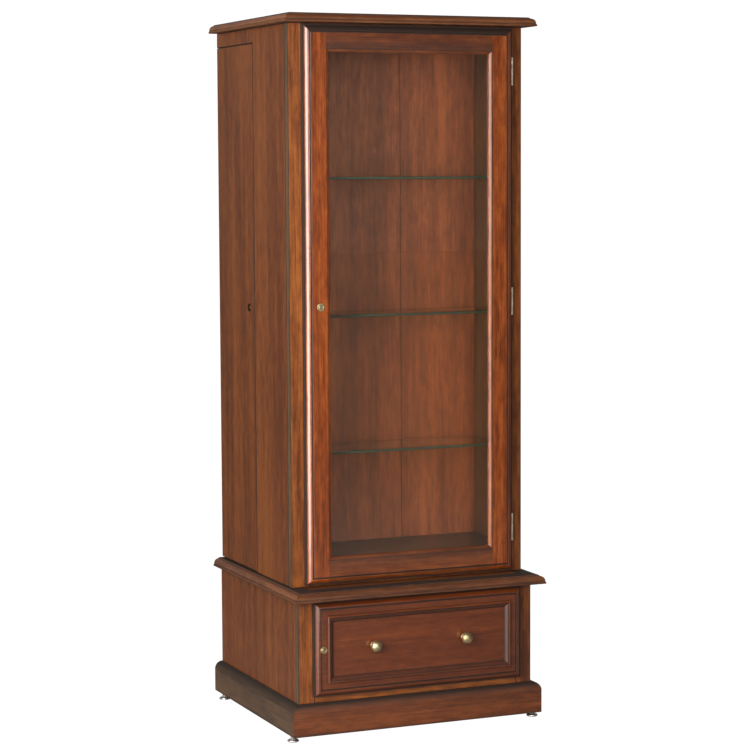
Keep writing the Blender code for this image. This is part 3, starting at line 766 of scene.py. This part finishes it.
# %% Build the door
# The heavy glaze on the leaf's edge face and square step is both the finisher's glaze and painted
# shade for the gap between leaf and frame.
STEP = [(0.0, 0.0, 0.5), (0.0, 0.0094, 0.8), (0.0006, 0.0100, 0.7), (0.0036, 0.0100, 0.95),
        (0.0040, 0.0104, 0.8), (0.0041, 0.0118, 0.3)]
OVOLO = [(out, up, 0.0) for out, up in
         arc((0.0135 + 0.023 * math.sin(math.radians(22)),
              0.0195 - 0.023 * math.cos(math.radians(22))), 0.023, 142, 112, 10)]
QUIRK = [(0.0142, 0.0197, 0.2), (0.0148, 0.0196, 0.6), (0.0153, 0.0190, 1.0),
         (0.0159, 0.0184, 1.0), (0.0166, 0.0184, 1.0), (0.0172, 0.0191, 0.8),
         (0.0179, 0.0198, 0.5), (0.0188, LEAF, 0.3), (0.0215, LEAF, 0.05)]
LEAF_EDGE = STEP + OVOLO + QUIRK
FACE = MEMBER - LIP
LIP_CURVE = [(FACE + 0.0004, 0.0192, 0.8), (FACE + 0.0010, 0.0190, 0.7)]
LIP_CURVE += [(out, up, 0.15) for out, up in arc((FACE + 0.0012, 0.0112), 0.0076, 85, 5, 8)]
LIP_CURVE += [(MEMBER, 0.0106, 0.6), (MEMBER, 0.0096, 0.4)]
LIP_BACK = 0.0095


def loft(lines, closed=True):
    """Skin a list of lines of (point, value of the glazing and painted shade). The first and last
    lines become flat faces.
    """
    shape = bmesh.new()
    layer = glaze_and_shade_layer(shape)
    rows = [[(shape.verts.new(point), glaze_and_shade) for point, glaze_and_shade in line] for line in lines]
    count = len(rows[0])
    spans = count if closed else count - 1
    for near, far in zip(rows, rows[1:]):
        for i in range(spans):
            j = (i + 1) % count
            corner = (near[i], near[j], far[j], far[i])
            face = shape.faces.new([vertex for vertex, _ in corner])
            for loop, (_, glaze_and_shade) in zip(face.loops, corner):
                loop[layer] = glaze_and_shade
    for row in (rows[0], rows[-1]):
        face = shape.faces.new([vertex for vertex, _ in row])
        for loop, (_, glaze_and_shade) in zip(face.loops, row):
            loop[layer] = glaze_and_shade
    if not closed:
        for end in (0, -1):
            face = shape.faces.new([row[end][0] for row in rows])
            for loop, row in zip(face.loops, rows):
                loop[layer] = row[end][1]
    return shape


def frame_stick(profile, box, side, back):
    """One mitred stick of a rectangular frame. The profile is (inset, height off the back)."""
    x0, x1, z0, z1 = box
    outlines = ([], [])
    for inset, up, _ in profile:
        left, right, low, high = x0 + inset, x1 - inset, z0 + inset, z1 - inset
        ends = {"left": ((left, low), (left, high)), "right": ((right, low), (right, high)),
                "low": ((left, low), (right, low)), "high": ((left, high), (right, high))}
        for outline, (x, z) in zip(outlines, ends[side]):
            outline.append((x, back - up, z))
    return skin(outlines, [glaze_and_shade for _, _, glaze_and_shade in profile])


DOOR_BOX = (-LEAF_HALF, LEAF_HALF, DOOR_LOW.z, DOOR_HIGH.z)
MOULDED = 40                       # degrees; sharper turns than this stay crisp
BUTT = LEAF_HALF - FACE
RAIL_HALF = BUTT - 0.00015          # a hairline at each joint
CORNICE_SHADOW_DROP = 0.003                   # how far the painted shadow of the cornice runs down a stile
FOUR_SIDES = (("left", "z"), ("right", "z"), ("low", "x"), ("high", "x"))
LIP_SECTION = [(FACE - 0.0006, 0.0191, 0.8)] + LIP_CURVE + [(FACE - 0.0006, LIP_BACK, 0.3)]


def painted_cornice_shadow(inset, glaze_and_shade):
    """Painted shadow of the cornice: the moulding right under it gets much heavier glazing."""
    return max(glaze_and_shade, 0.8) if inset < 0.019 else glaze_and_shade


def door_stile(side, name):
    """A stile with the outer moulding round its side and both ends, and the inner lip."""
    lines = []
    for inset, up, glaze_and_shade in LEAF_EDGE:
        x = side * (LEAF_HALF - inset)
        y = DOOR_BACK - up
        high, low = DOOR_HIGH.z - inset, DOOR_LOW.z + inset
        # The top end of the stile takes the painted shadow of the cornice.
        top = painted_cornice_shadow(inset, glaze_and_shade)
        lines.append([((side * BUTT, y, high), top), ((x, y, high), top),
                      ((x, y, high - CORNICE_SHADOW_DROP), glaze_and_shade), ((x, y, low), glaze_and_shade),
                      ((side * BUTT, y, low), glaze_and_shade)])
    lines[-1] = [(point, 0.05) for point, _ in lines[-1]]
    stile = loft(lines, closed=False)
    lip = frame_stick(LIP_SECTION, DOOR_BOX, name, DOOR_BACK)
    return join_into(stile, lip)


def door_rail(edge, side, name):
    """A rail between the stiles, with the moulding on its outer edge and the inner lip."""
    section = []
    for inset, up, glaze_and_shade in LEAF_EDGE + [(FACE, LEAF, 0.4), (FACE, 0.0, 0.3)]:
        # The top rail's outer moulding takes the painted shadow of the cornice.
        if side > 0:
            glaze_and_shade = painted_cornice_shadow(inset, glaze_and_shade)
        section.append((DOOR_BACK - up, edge - side * inset, glaze_and_shade))
    outlines = [[(x, y, z) for y, z, _ in section] for x in (-RAIL_HALF, RAIL_HALF)]
    rail = skin(outlines, [glaze_and_shade for _, _, glaze_and_shade in section])
    return join_into(rail, frame_stick(LIP_SECTION, DOOR_BOX, name, DOOR_BACK))


left_stile = drill(door_stile(-1, "left"), BORE, LOCK_PLACES["door"], "-y")
MEMBERS = (("left_stile", left_stile, DOOR_WOOD, "z"),
           ("right_stile", door_stile(1, "right"), DOOR_WOOD, "z"),
           ("top_rail", door_rail(DOOR_HIGH.z, 1, "high"), RAIL_WOOD, "x"),
           ("bottom_rail", door_rail(DOOR_LOW.z, -1, "low"), RAIL_WOOD, "x"))
for label, shape, finish, along in MEMBERS:
    make_piece(f"door_{label}_wood", shape, "door", finish, along,
               [f"door_{label}"], MOULDED)

STOP = [(FACE + 0.0002, 0.0008, 0.3), (FACE + 0.0060, 0.0008, 0.3), (FACE + 0.0068, 0.0016, 0.2),
        (FACE + 0.0068, 0.0053, 0.2), (FACE + 0.0002, 0.0053, 0.4)]
for side, along in FOUR_SIDES:
    make_piece(f"glass_stop_{side}", frame_stick(STOP, DOOR_BOX, side, DOOR_BACK), "door",
               DOOR_WOOD, along)

# %% [markdown]
# ## The drawer
# The drawer front has the door's outer moulding on all four sides. A raised ring of moulding
# frames its centre panel, mitred at the corners and dark with glaze at its foot.

# %% Build the drawer front
DRAWER_BOX = (-LEAF_HALF, LEAF_HALF, DRAWER_LOW.z, DRAWER_HIGH.z)
PANEL_UP = 0.016


def drawer_board():
    """The drawer front: moulded edges on a board whose centre panel is sunk."""
    lines = []
    inner = [(0.0400, LEAF, 0.3), (0.0404, PANEL_UP, 0.3), (0.0520, PANEL_UP, 0.05)]
    for inset, up, glaze_and_shade in LEAF_EDGE + inner:
        x, low, high = LEAF_HALF - inset, DRAWER_LOW.z + inset, DRAWER_HIGH.z - inset
        y = DRAWER_BACK - up
        lines.append([((-x, y, low), glaze_and_shade), ((x, y, low), glaze_and_shade), ((x, y, high), glaze_and_shade),
                      ((-x, y, high), glaze_and_shade)])
    return loft(lines)


front = drill(drawer_board(), BORE, LOCK_PLACES["drawer"], "-y")
make_piece("drawer_front_wood", front, "drawer", DRAWER_WOOD, "x",
           ["drawer_front"], MOULDED)

RING = [(0.0315, 0.0190, 0.9), (0.0315, 0.0204, 0.9), (0.0320, 0.0216, 0.4)]
RING += [(0.0356 - 0.0034 * math.cos(math.radians(t)),
          0.0212 + 0.0033 * math.sin(math.radians(t)), 0.0) for t in range(15, 106, 15)]
RING += [(0.0372, 0.0240, 0.45), (0.0382, 0.0232, 0.9), (0.0390, 0.0233, 0.7),
         (0.0404, 0.0228, 0.35), (0.0424, 0.0213, 0.3), (0.0444, 0.0193, 0.3),
         (0.0462, 0.0178, 0.5), (0.0474, 0.0172, 0.8), (0.0480, 0.0162, 1.0),
         (0.0480, 0.0157, 1.0), (0.0402, 0.0157, 1.0), (0.0398, 0.0190, 1.0)]
for side, along in FOUR_SIDES:
    make_piece(f"drawer_ring_{side}", frame_stick(RING, DRAWER_BOX, side, DRAWER_BACK), "drawer",
               DRAWER_WOOD, along, (), 35)
print("drawer front", round(2000 * LEAF_HALF), "x",
      round(1000 * (DRAWER_HIGH.z - DRAWER_LOW.z)), "mm")

# %% [markdown]
# ## Glass
# The pane is a plain sheet held by the lip and the stops. The shelves have ground edges with
# a small arris, which is where float glass shows its green.

# %% Cut the glass
def glass_plate(node, arris):
    low, high = corners(node)
    plate = eased_block(low, high, arris, 0.0, segments=3)
    for face in plate.faces:
        face.material_index = 1 if abs(face.normal.z) < 0.6 else 0
    return plate


low, high = corners("door_glass")
make_piece("door_pane", eased_block(low, high, 0.0004, 0.0), "door",
           CLEAR_GLASS, None, ["door_glass"])
for level in ("upper", "middle", "lower"):
    node = "glass_shelf_" + level
    make_piece(node + "_plate", glass_plate(node, 0.0010), "cabinet",
               [CLEAR_GLASS, GLASS_EDGE], None, [node])
print("one pane and three shelves")

# %% [markdown]
# ## Turned brass
# Knobs, lock bodies and glides are lathe work, so each is a profile turned round an axis. The
# knob is a ball on a short neck, over a small rosette. Each lock shows a thin rounded flange
# with the plug standing in it, and the plug has a keyway.

# %% Turn the knobs, the locks and the glides
def lathe(profile, place, steps=48):
    """Turn a profile of (radius, height) about an axis; a radius of zero closes an end."""
    shape = bmesh.new()
    glaze_and_shade_layer(shape)
    rings = []
    for radius, height in profile:
        if radius == 0:
            rings.append([shape.verts.new((0, 0, height))])
            continue
        turns = [2 * math.pi * i / steps for i in range(steps)]
        rings.append([shape.verts.new((radius * math.cos(t), radius * math.sin(t), height))
                      for t in turns])
    pairs = list(zip(rings, rings[1:]))
    if profile[0][0] and profile[-1][0]:
        pairs.append((rings[-1], rings[0]))
    for near, far in pairs:
        for i in range(steps):
            j = (i + 1) % steps
            ring = [near[i % len(near)], near[j % len(near)], far[j % len(far)],
                    far[i % len(far)]]
            shape.faces.new(list(dict.fromkeys(ring))).smooth = True
    bmesh.ops.transform(shape, matrix=place, verts=shape.verts)
    return shape


def metal_piece(name, shape, body, finish, node):
    """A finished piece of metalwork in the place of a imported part."""
    make_piece(name, shape, body, finish, None, [node], 35)


KNOB_LOW, KNOB_HIGH = corners("drawer_knob_left")
KNOB_R = (KNOB_HIGH.x - KNOB_LOW.x) / 2
PANEL_FACE = DRAWER_BACK - PANEL_UP
BALL_MIDDLE = 0.0135
BALL_R = KNOB_R - 0.0001
BALL_TOP = PANEL_FACE - KNOB_LOW.y - 0.0001
KNOB = [(0.0, BALL_TOP)]
KNOB += [(BALL_R * math.sin(math.radians(t)),
          BALL_MIDDLE + (BALL_TOP - BALL_MIDDLE) * math.cos(math.radians(t)))
         for t in range(10, 131, 10)]
KNOB += [(0.0092, 0.0040), (0.0082, 0.0032), (0.0084, 0.0025), (0.0098, 0.0018),
         (0.0104, 0.0011), (0.0105, 0.0003), (0.0, 0.0003)]
SCREW_FRONT = -PANEL_UP - 0.0003
SCREW_REAR = -PANEL_UP - (KNOB_HIGH.y - DRAWER_BACK)
KNOB_SCREW = ((0.0, SCREW_REAR), (0.0036, SCREW_REAR + 0.0004), (0.0044, SCREW_REAR + 0.0016),
              (0.0044, SCREW_FRONT), (0.0, SCREW_FRONT))
for hand in ("left", "right"):
    node = "drawer_knob_" + hand
    low, high = corners(node)
    place = Matrix.Translation(((low.x + high.x) / 2, PANEL_FACE, DRAWER_MID)) @ facing("-y")
    knob = join_into(lathe(KNOB, place), lathe(KNOB_SCREW, place, 24))
    metal_piece(node + "_turned", knob, "drawer", BRASS, node)

BARREL_BORE = 0.0055
PLUG_R = 0.0052
KEYWAY = (0.0013, 0.0066, 0.008)
CAM_HALF = 0.0058
CAM_FRONT, CAM_REAR = 0.0026, 0.0002   # measured from the rear end of the plug


def lock_shell(flange, depth, place):
    """A lock's body: a rounded flange on the face and the barrel behind it."""
    outer = BORE - 0.0003
    ring = ((BARREL_BORE, 0.0013), (0.0058, 0.0016), (flange - 0.0012, 0.0016),
            (flange - 0.0005, 0.0013), (flange - 0.0001, 0.0007), (flange - 0.0001, 0.0003),
            (outer, 0.0003), (outer, 0.0002 - depth), (BARREL_BORE, 0.0002 - depth))
    return lathe(ring, place)


def lock_plug(low, high, centre, axis, place):
    """The plug with its keyway, and the cam that it turns."""
    rear = high[axis] - centre[axis]
    stub = ((0.0, 0.0020), (0.0046, 0.0020), (0.0051, 0.0016), (PLUG_R, 0.0010),
            (PLUG_R, -rear), (0.0, -rear))
    turn = Matrix.Rotation(math.pi / 2 if axis == 0 else 0.0, 4, "Z")
    keyway = bmesh.new()
    bmesh.ops.create_cube(keyway, size=1.0, matrix=place @ turn @ Matrix.Translation(
        (0, 0, -0.001)) @ Matrix.Diagonal((*KEYWAY, 1)))
    cam_low = Vector((low.x, low.y, low.z + 0.0002))
    cam_high = Vector((high.x, high.y, centre.z + CAM_HALF))
    cam_low[axis] = high[axis] - CAM_FRONT
    cam_high[axis] = high[axis] - CAM_REAR
    across = 1 - axis
    cam_low[across] = centre[across] - CAM_HALF
    cam_high[across] = centre[across] + CAM_HALF
    return join_into(cut(lathe(stub, place, 40), keyway),
                     eased_block(cam_low, cam_high, 0.0005, 0.0))


LOCKS = (("door", "door", "-y", DOOR_FACE, BRASS),
         ("drawer", "drawer", "-y", DRAWER_BACK - LEAF, BRASS),
         ("side", "pull_out_rack", "-x", -CASE_HALF, DARK_BRASS))
for lock, body, direction, face, finish in LOCKS:
    low, high = corners(lock + "_lock_body")
    centre = (low + high) / 2
    axis = "xy".index(direction[1])
    centre[axis] = face
    place = Matrix.Translation(centre) @ facing(direction)
    shell = lock_shell((high.z - low.z) / 2, high[axis] - centre[axis], place)
    metal_piece(lock + "_lock_shell", shell, body, finish, lock + "_lock_body")
    plug = lock_plug(*corners(lock + "_lock_plug"), centre, axis, place)
    metal_piece(lock + "_lock_barrel", plug, lock + "_lock_barrel", finish, lock + "_lock_plug")

FOOT = ((0.0, 0.0002), (0.0118, 0.0002), (0.0132, 0.0008), (0.0139, 0.0018), (0.0139, 0.0032),
        (0.0130, 0.0048), (0.0112, 0.0058), (0.0070, 0.0068), (0.0, 0.0068))
NUT = ((0.0, 0.0064), (0.0066, 0.0064), (0.0069, 0.0069), (0.0069, 0.0114), (0.0066, 0.0119),
       (0.0, 0.0119))
THREAD_TURNS = 33
THREAD_PITCH = 0.001


def glide(low, high):
    """A round foot, a six-sided nut and a threaded stem."""
    place = Matrix.Translation(((low.x + high.x) / 2, (low.y + high.y) / 2, low.z))
    top = high.z - low.z - 0.0002
    thread = [(0.0, 0.0115)]
    for turn in range(THREAD_TURNS):
        thread += [(0.0035, 0.0116 + THREAD_PITCH * turn),
                   (0.0031, 0.0121 + THREAD_PITCH * turn)]
    thread += [(0.0028, top), (0.0, top)]
    shape = join_into(lathe(FOOT, place), lathe(NUT, place, 6))
    return join_into(shape, lathe(thread, place, 20))


for end in ("front", "rear"):
    for hand in ("left", "right"):
        node = f"glide_{end}_{hand}"
        metal_piece(node + "_turned", glide(*corners(node)), node, ZINC, node)
print("knobs 2, locks 3, glides 4; knob", round(2000 * KNOB_R, 1), "mm across")

# %% [markdown]
# ## Hinges
# Each hinge has two flat leaves that nest in one thickness, so the door closes with a narrow
# gap. Only the barrel shows beside the door. Two of its knuckles belong to the case and one to
# the door.

# %% Make the hinges
LEAF_FRONT = CASE_FRONT - 0.0019
LEAF_REAR = CASE_FRONT - 0.0004
LEAF_EASE = 0.0003
KNUCKLE_GAP = 0.0004
CASE_LEAF_WIDTH = 0.007
HINGE_SCREWS = {"cabinet": [], "door": []}


def knuckle(radius, axis, low, high):
    """A round knuckle with eased ends, standing on the hinge's axis."""
    length, ease = high - low, 0.0004
    profile = ((0.0, 0.0), (radius - ease, 0.0), (radius, ease), (radius, length - ease),
               (radius - ease, length), (0.0, length))
    return lathe(profile, Matrix.Translation((*axis, low)), 32)


for level in ("upper", "middle", "lower"):
    case_low, case_high = corners(f"hinge_{level}_frame_leaf")
    door_low, door_high = corners(f"hinge_{level}_door_leaf")
    barrel = (case_high.y - case_low.y) / 2
    axis = (case_high.x - barrel, case_high.y - barrel)
    spine, low, high = case_low.x, case_low.z, case_high.z
    gap_low, gap_high = door_low.z - KNUCKLE_GAP, door_high.z + KNUCKLE_GAP
    neck = spine + CASE_LEAF_WIDTH
    outline = ((spine, low), (axis[0], low), (axis[0], gap_low), (neck, gap_low),
               (neck, gap_high), (axis[0], gap_high), (axis[0], high), (spine, high))
    case_leaf = prism(outline, "y", LEAF_FRONT, LEAF_REAR, LEAF_EASE, 0.0)
    for start, end in ((low, gap_low), (gap_high, high)):
        case_leaf = join_into(case_leaf, knuckle(barrel, axis, start, end))
    metal_piece(f"hinge_{level}_case_leaf", case_leaf, "cabinet", PALE_BRASS_AND_HIGHLIGHT,
                f"hinge_{level}_frame_leaf")
    outline = ((door_low.x, door_low.z), (axis[0], door_low.z), (axis[0], door_high.z),
               (door_low.x, door_high.z))
    swing_leaf = prism(outline, "y", LEAF_FRONT, LEAF_REAR, LEAF_EASE, 0.0)
    swing_leaf = join_into(swing_leaf, knuckle(barrel, axis, door_low.z, door_high.z))
    metal_piece(f"hinge_{level}_swing_leaf", swing_leaf, "door", PALE_BRASS_AND_HIGHLIGHT,
                f"hinge_{level}_door_leaf")
    HINGE_SCREWS["cabinet"] += [((spine + 0.0105, LEAF_FRONT, z), "-y")
                                for z in (low + 0.010, high - 0.010)]
    HINGE_SCREWS["door"] += [((door_low.x + 0.0060, LEAF_REAR, z), "+y")
                             for z in (door_low.z + 0.0055, door_high.z - 0.0055)]
print("hinge barrel", round(2000 * barrel, 1), "mm across")

# %% [markdown]
# ## Repeated fixings
# Pins, screws and nails follow one rule, a small shape at each place in a list, so one
# Geometry Nodes tree sets them all. Each fixing is turned by a random amount about its own
# axis, as slots and heads are in real work.

# %% Set the pins, the screws and the nails
def fixing_tree():
    tree = bpy.data.node_groups.new("repeat_fixings", "GeometryNodeTree")
    sockets = (("Places", "INPUT", "NodeSocketGeometry"), ("Fixing", "INPUT", "NodeSocketObject"),
               ("Finish", "INPUT", "NodeSocketMaterial"), ("Spin", "INPUT", "NodeSocketFloat"),
               ("Seed", "INPUT", "NodeSocketInt"), ("Fixings", "OUTPUT", "NodeSocketGeometry"))
    for label, side, kind in sockets:
        tree.interface.new_socket(label, in_out=side, socket_type=kind)
    given = add(tree, "NodeGroupInput")
    points = add(tree, "GeometryNodeMeshToPoints", {"Mesh": given.outputs["Places"]})
    shape = add(tree, "GeometryNodeObjectInfo", {"Object": given.outputs["Fixing"]})
    heading = add(tree, "GeometryNodeInputNamedAttribute", data_type="FLOAT_VECTOR", Name="heading")
    away = add(tree, "ShaderNodeMath", {0: given.outputs["Spin"]}, operation="MULTIPLY")
    away.inputs[1].default_value = -1.0
    chance = add(tree, "FunctionNodeRandomValue", data_type="FLOAT")
    tree.links.new(away.outputs[0], chance.inputs[2])
    tree.links.new(given.outputs["Spin"], chance.inputs[3])
    tree.links.new(given.outputs["Seed"], chance.inputs["Seed"])
    spin = add(tree, "ShaderNodeCombineXYZ", {"Z": chance.outputs[1]})
    turned = add(tree, "FunctionNodeRotateRotation", {0: heading.outputs[0], 1: spin.outputs[0]},
                 rotation_space="LOCAL")
    placed = add(tree, "GeometryNodeInstanceOnPoints",
                 {"Points": points.outputs[0], "Instance": shape.outputs["Geometry"],
                  "Rotation": turned.outputs[0]})
    real = add(tree, "GeometryNodeRealizeInstances", {0: placed.outputs[0]})
    finished = add(tree, "GeometryNodeSetMaterial",
                   {"Geometry": real.outputs[0], "Material": given.outputs["Finish"]})
    add(tree, "NodeGroupOutput", {0: finished.outputs[0]})
    return tree


FIXINGS = fixing_tree()


def set_fixings(name, shape, places, body, finish, spin, seed):
    """Repeat a shape, whose head points along +Z, at (place, direction) pairs."""
    pattern = bpy.data.meshes.new(name + "_pattern")
    bmesh.ops.recalc_face_normals(shape, faces=shape.faces)
    shape.to_mesh(pattern)
    shape.free()
    model = bpy.data.objects.new(name + "_pattern", pattern)
    bpy.context.scene.collection.objects.link(model)
    spots = bpy.data.meshes.new(name)
    spots.from_pydata([place for place, _ in places], [], [])
    headings = spots.attributes.new("heading", "FLOAT_VECTOR", "POINT")
    turns = [value for _, way in places for value in facing(way).to_euler()]
    headings.data.foreach_set("vector", turns)
    piece = bpy.data.objects.new(name, spots)
    bpy.context.scene.collection.objects.link(piece)
    nodes = piece.modifiers.new("fixings", "NODES")
    nodes.node_group = FIXINGS
    names = {item.name: item.identifier for item in FIXINGS.interface.items_tree}
    values = {"Fixing": model, "Finish": finish, "Spin": spin, "Seed": seed}
    for label, value in values.items():
        nodes[names[label]] = value
    ready = piece.evaluated_get(bpy.context.evaluated_depsgraph_get())
    piece_mesh = bpy.data.meshes.new_from_object(ready)
    piece.modifiers.clear()
    piece.data = piece_mesh
    bpy.data.objects.remove(model)
    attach(piece, body)
    print(name, len(places), "places,", len(piece_mesh.polygons), "faces")


def crossed_head(radius, height, slot):
    """A low screw head with a cross recess."""
    head = lathe(((0.0, height), (radius * 0.5, height * 0.95), (radius * 0.85, height * 0.7),
                  (radius, 0.0), (0.0, -0.0001)), Matrix.Identity(4), 20)
    for size in ((slot, radius * 1.2, height), (radius * 1.2, slot, height)):
        tool = bmesh.new()
        bmesh.ops.create_cube(tool, size=1.0, matrix=Matrix.Translation((0, 0, height))
                              @ Matrix.Diagonal((*size, 1)))
        head = cut(head, tool)
    return head


for body, places in HINGE_SCREWS.items():
    set_fixings(f"hinge_screws_{body}", crossed_head(0.0019, 0.00028, 0.0005), places, body,
                BRASS, 1.5, 11)

PIN_R = 0.0025
PIN_INSET = 0.030                  # from the front and rear edges of each shelf
WALL = CASE_HALF - 0.0192
pin_places = []
for level in ("upper", "middle", "lower"):
    low, high = corners("glass_shelf_" + level)
    for depth in (low.y + PIN_INSET, high.y - PIN_INSET):
        pin_places += [((wall, depth, low.z - PIN_R - 0.0003), way)
                       for wall, way in ((-WALL, "+x"), (WALL, "-x"))]
shelf_pin = lathe(((0.0, 0.0105), (PIN_R - 0.0006, 0.0103), (PIN_R - 0.0001, 0.0097),
                   (PIN_R, 0.0090), (PIN_R, 0.0022), (PIN_R + 0.0016, 0.0020),
                   (PIN_R + 0.0016, 0.0008), (PIN_R, 0.0004), (PIN_R, -0.008), (0.0, -0.008)),
                  Matrix.Identity(4), 20)
set_fixings("shelf_pins", shelf_pin, pin_places, "cabinet", DARK_BRASS, 3.1, 12)

NAIL_STEP = 0.130
NAIL_INSET = Vector((0.008, 0.0, 0.010))
nail_places = []
for node in ("upper_back_panel", "base_back_panel"):
    low, high = corners(node)
    low, high = low + NAIL_INSET, high - NAIL_INSET
    rows = round((high.z - low.z) / NAIL_STEP)
    columns = round((high.x - low.x) / NAIL_STEP)
    spots = [(x, low.z + (high.z - low.z) * i / rows)
             for i in range(rows + 1) for x in (low.x, high.x)]
    spots += [(low.x + (high.x - low.x) * i / columns, z)
              for i in range(1, columns) for z in (low.z, high.z)]
    nail_places += [((x, BACK - BACK_RECESS, z), "+y") for x, z in spots]
nail_head = lathe(((0.0, 0.0003), (0.0012, 0.0003), (0.0016, 0.0001), (0.0016, -0.0002),
                   (0.0, -0.0002)), Matrix.Identity(4), 16)
set_fixings("back_panel_nails", nail_head, nail_places, "cabinet", ZINC, 3.1, 13)

STOP_MIDDLE = FACE + 0.0035
STOP_FACE = DOOR_BACK - 0.0008
STOP_NAILS = 6
FIRST_NAIL = DOOR_LOW.z + MEMBER + 0.04
LAST_NAIL = DOOR_HIGH.z - MEMBER - 0.04
stop_places = []
for x in (STOP_MIDDLE - LEAF_HALF, LEAF_HALF - STOP_MIDDLE):
    for i in range(STOP_NAILS):
        z = FIRST_NAIL + i * (LAST_NAIL - FIRST_NAIL) / (STOP_NAILS - 1)
        stop_places.append(((x, STOP_FACE, z), "+y"))
for z in (DOOR_LOW.z + STOP_MIDDLE, DOOR_HIGH.z - STOP_MIDDLE):
    stop_places += [((x, STOP_FACE, z), "+y") for x in (-0.15, 0.0, 0.15)]
stop_pin = lathe(((0.0, 0.0002), (0.0007, 0.0002), (0.0009, 0.0), (0.0009, -0.0002),
                  (0.0, -0.0002)), Matrix.Identity(4), 12)
set_fixings("glass_stop_nails", stop_pin, stop_places, "door", BRASS, 3.1, 14)

# %% [markdown]
# ## Steel runners
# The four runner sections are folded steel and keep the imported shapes. They only take the
# zinc finish.

# %% Finish the runners
for node in ("slider_runner_fixed", "slider_runner_moving", "drawer_runner_fixed",
             "drawer_runner_moving"):
    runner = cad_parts[node]
    if runner.material_slots:
        runner.material_slots[0].material = ZINC
    else:
        runner.data.materials.append(ZINC)
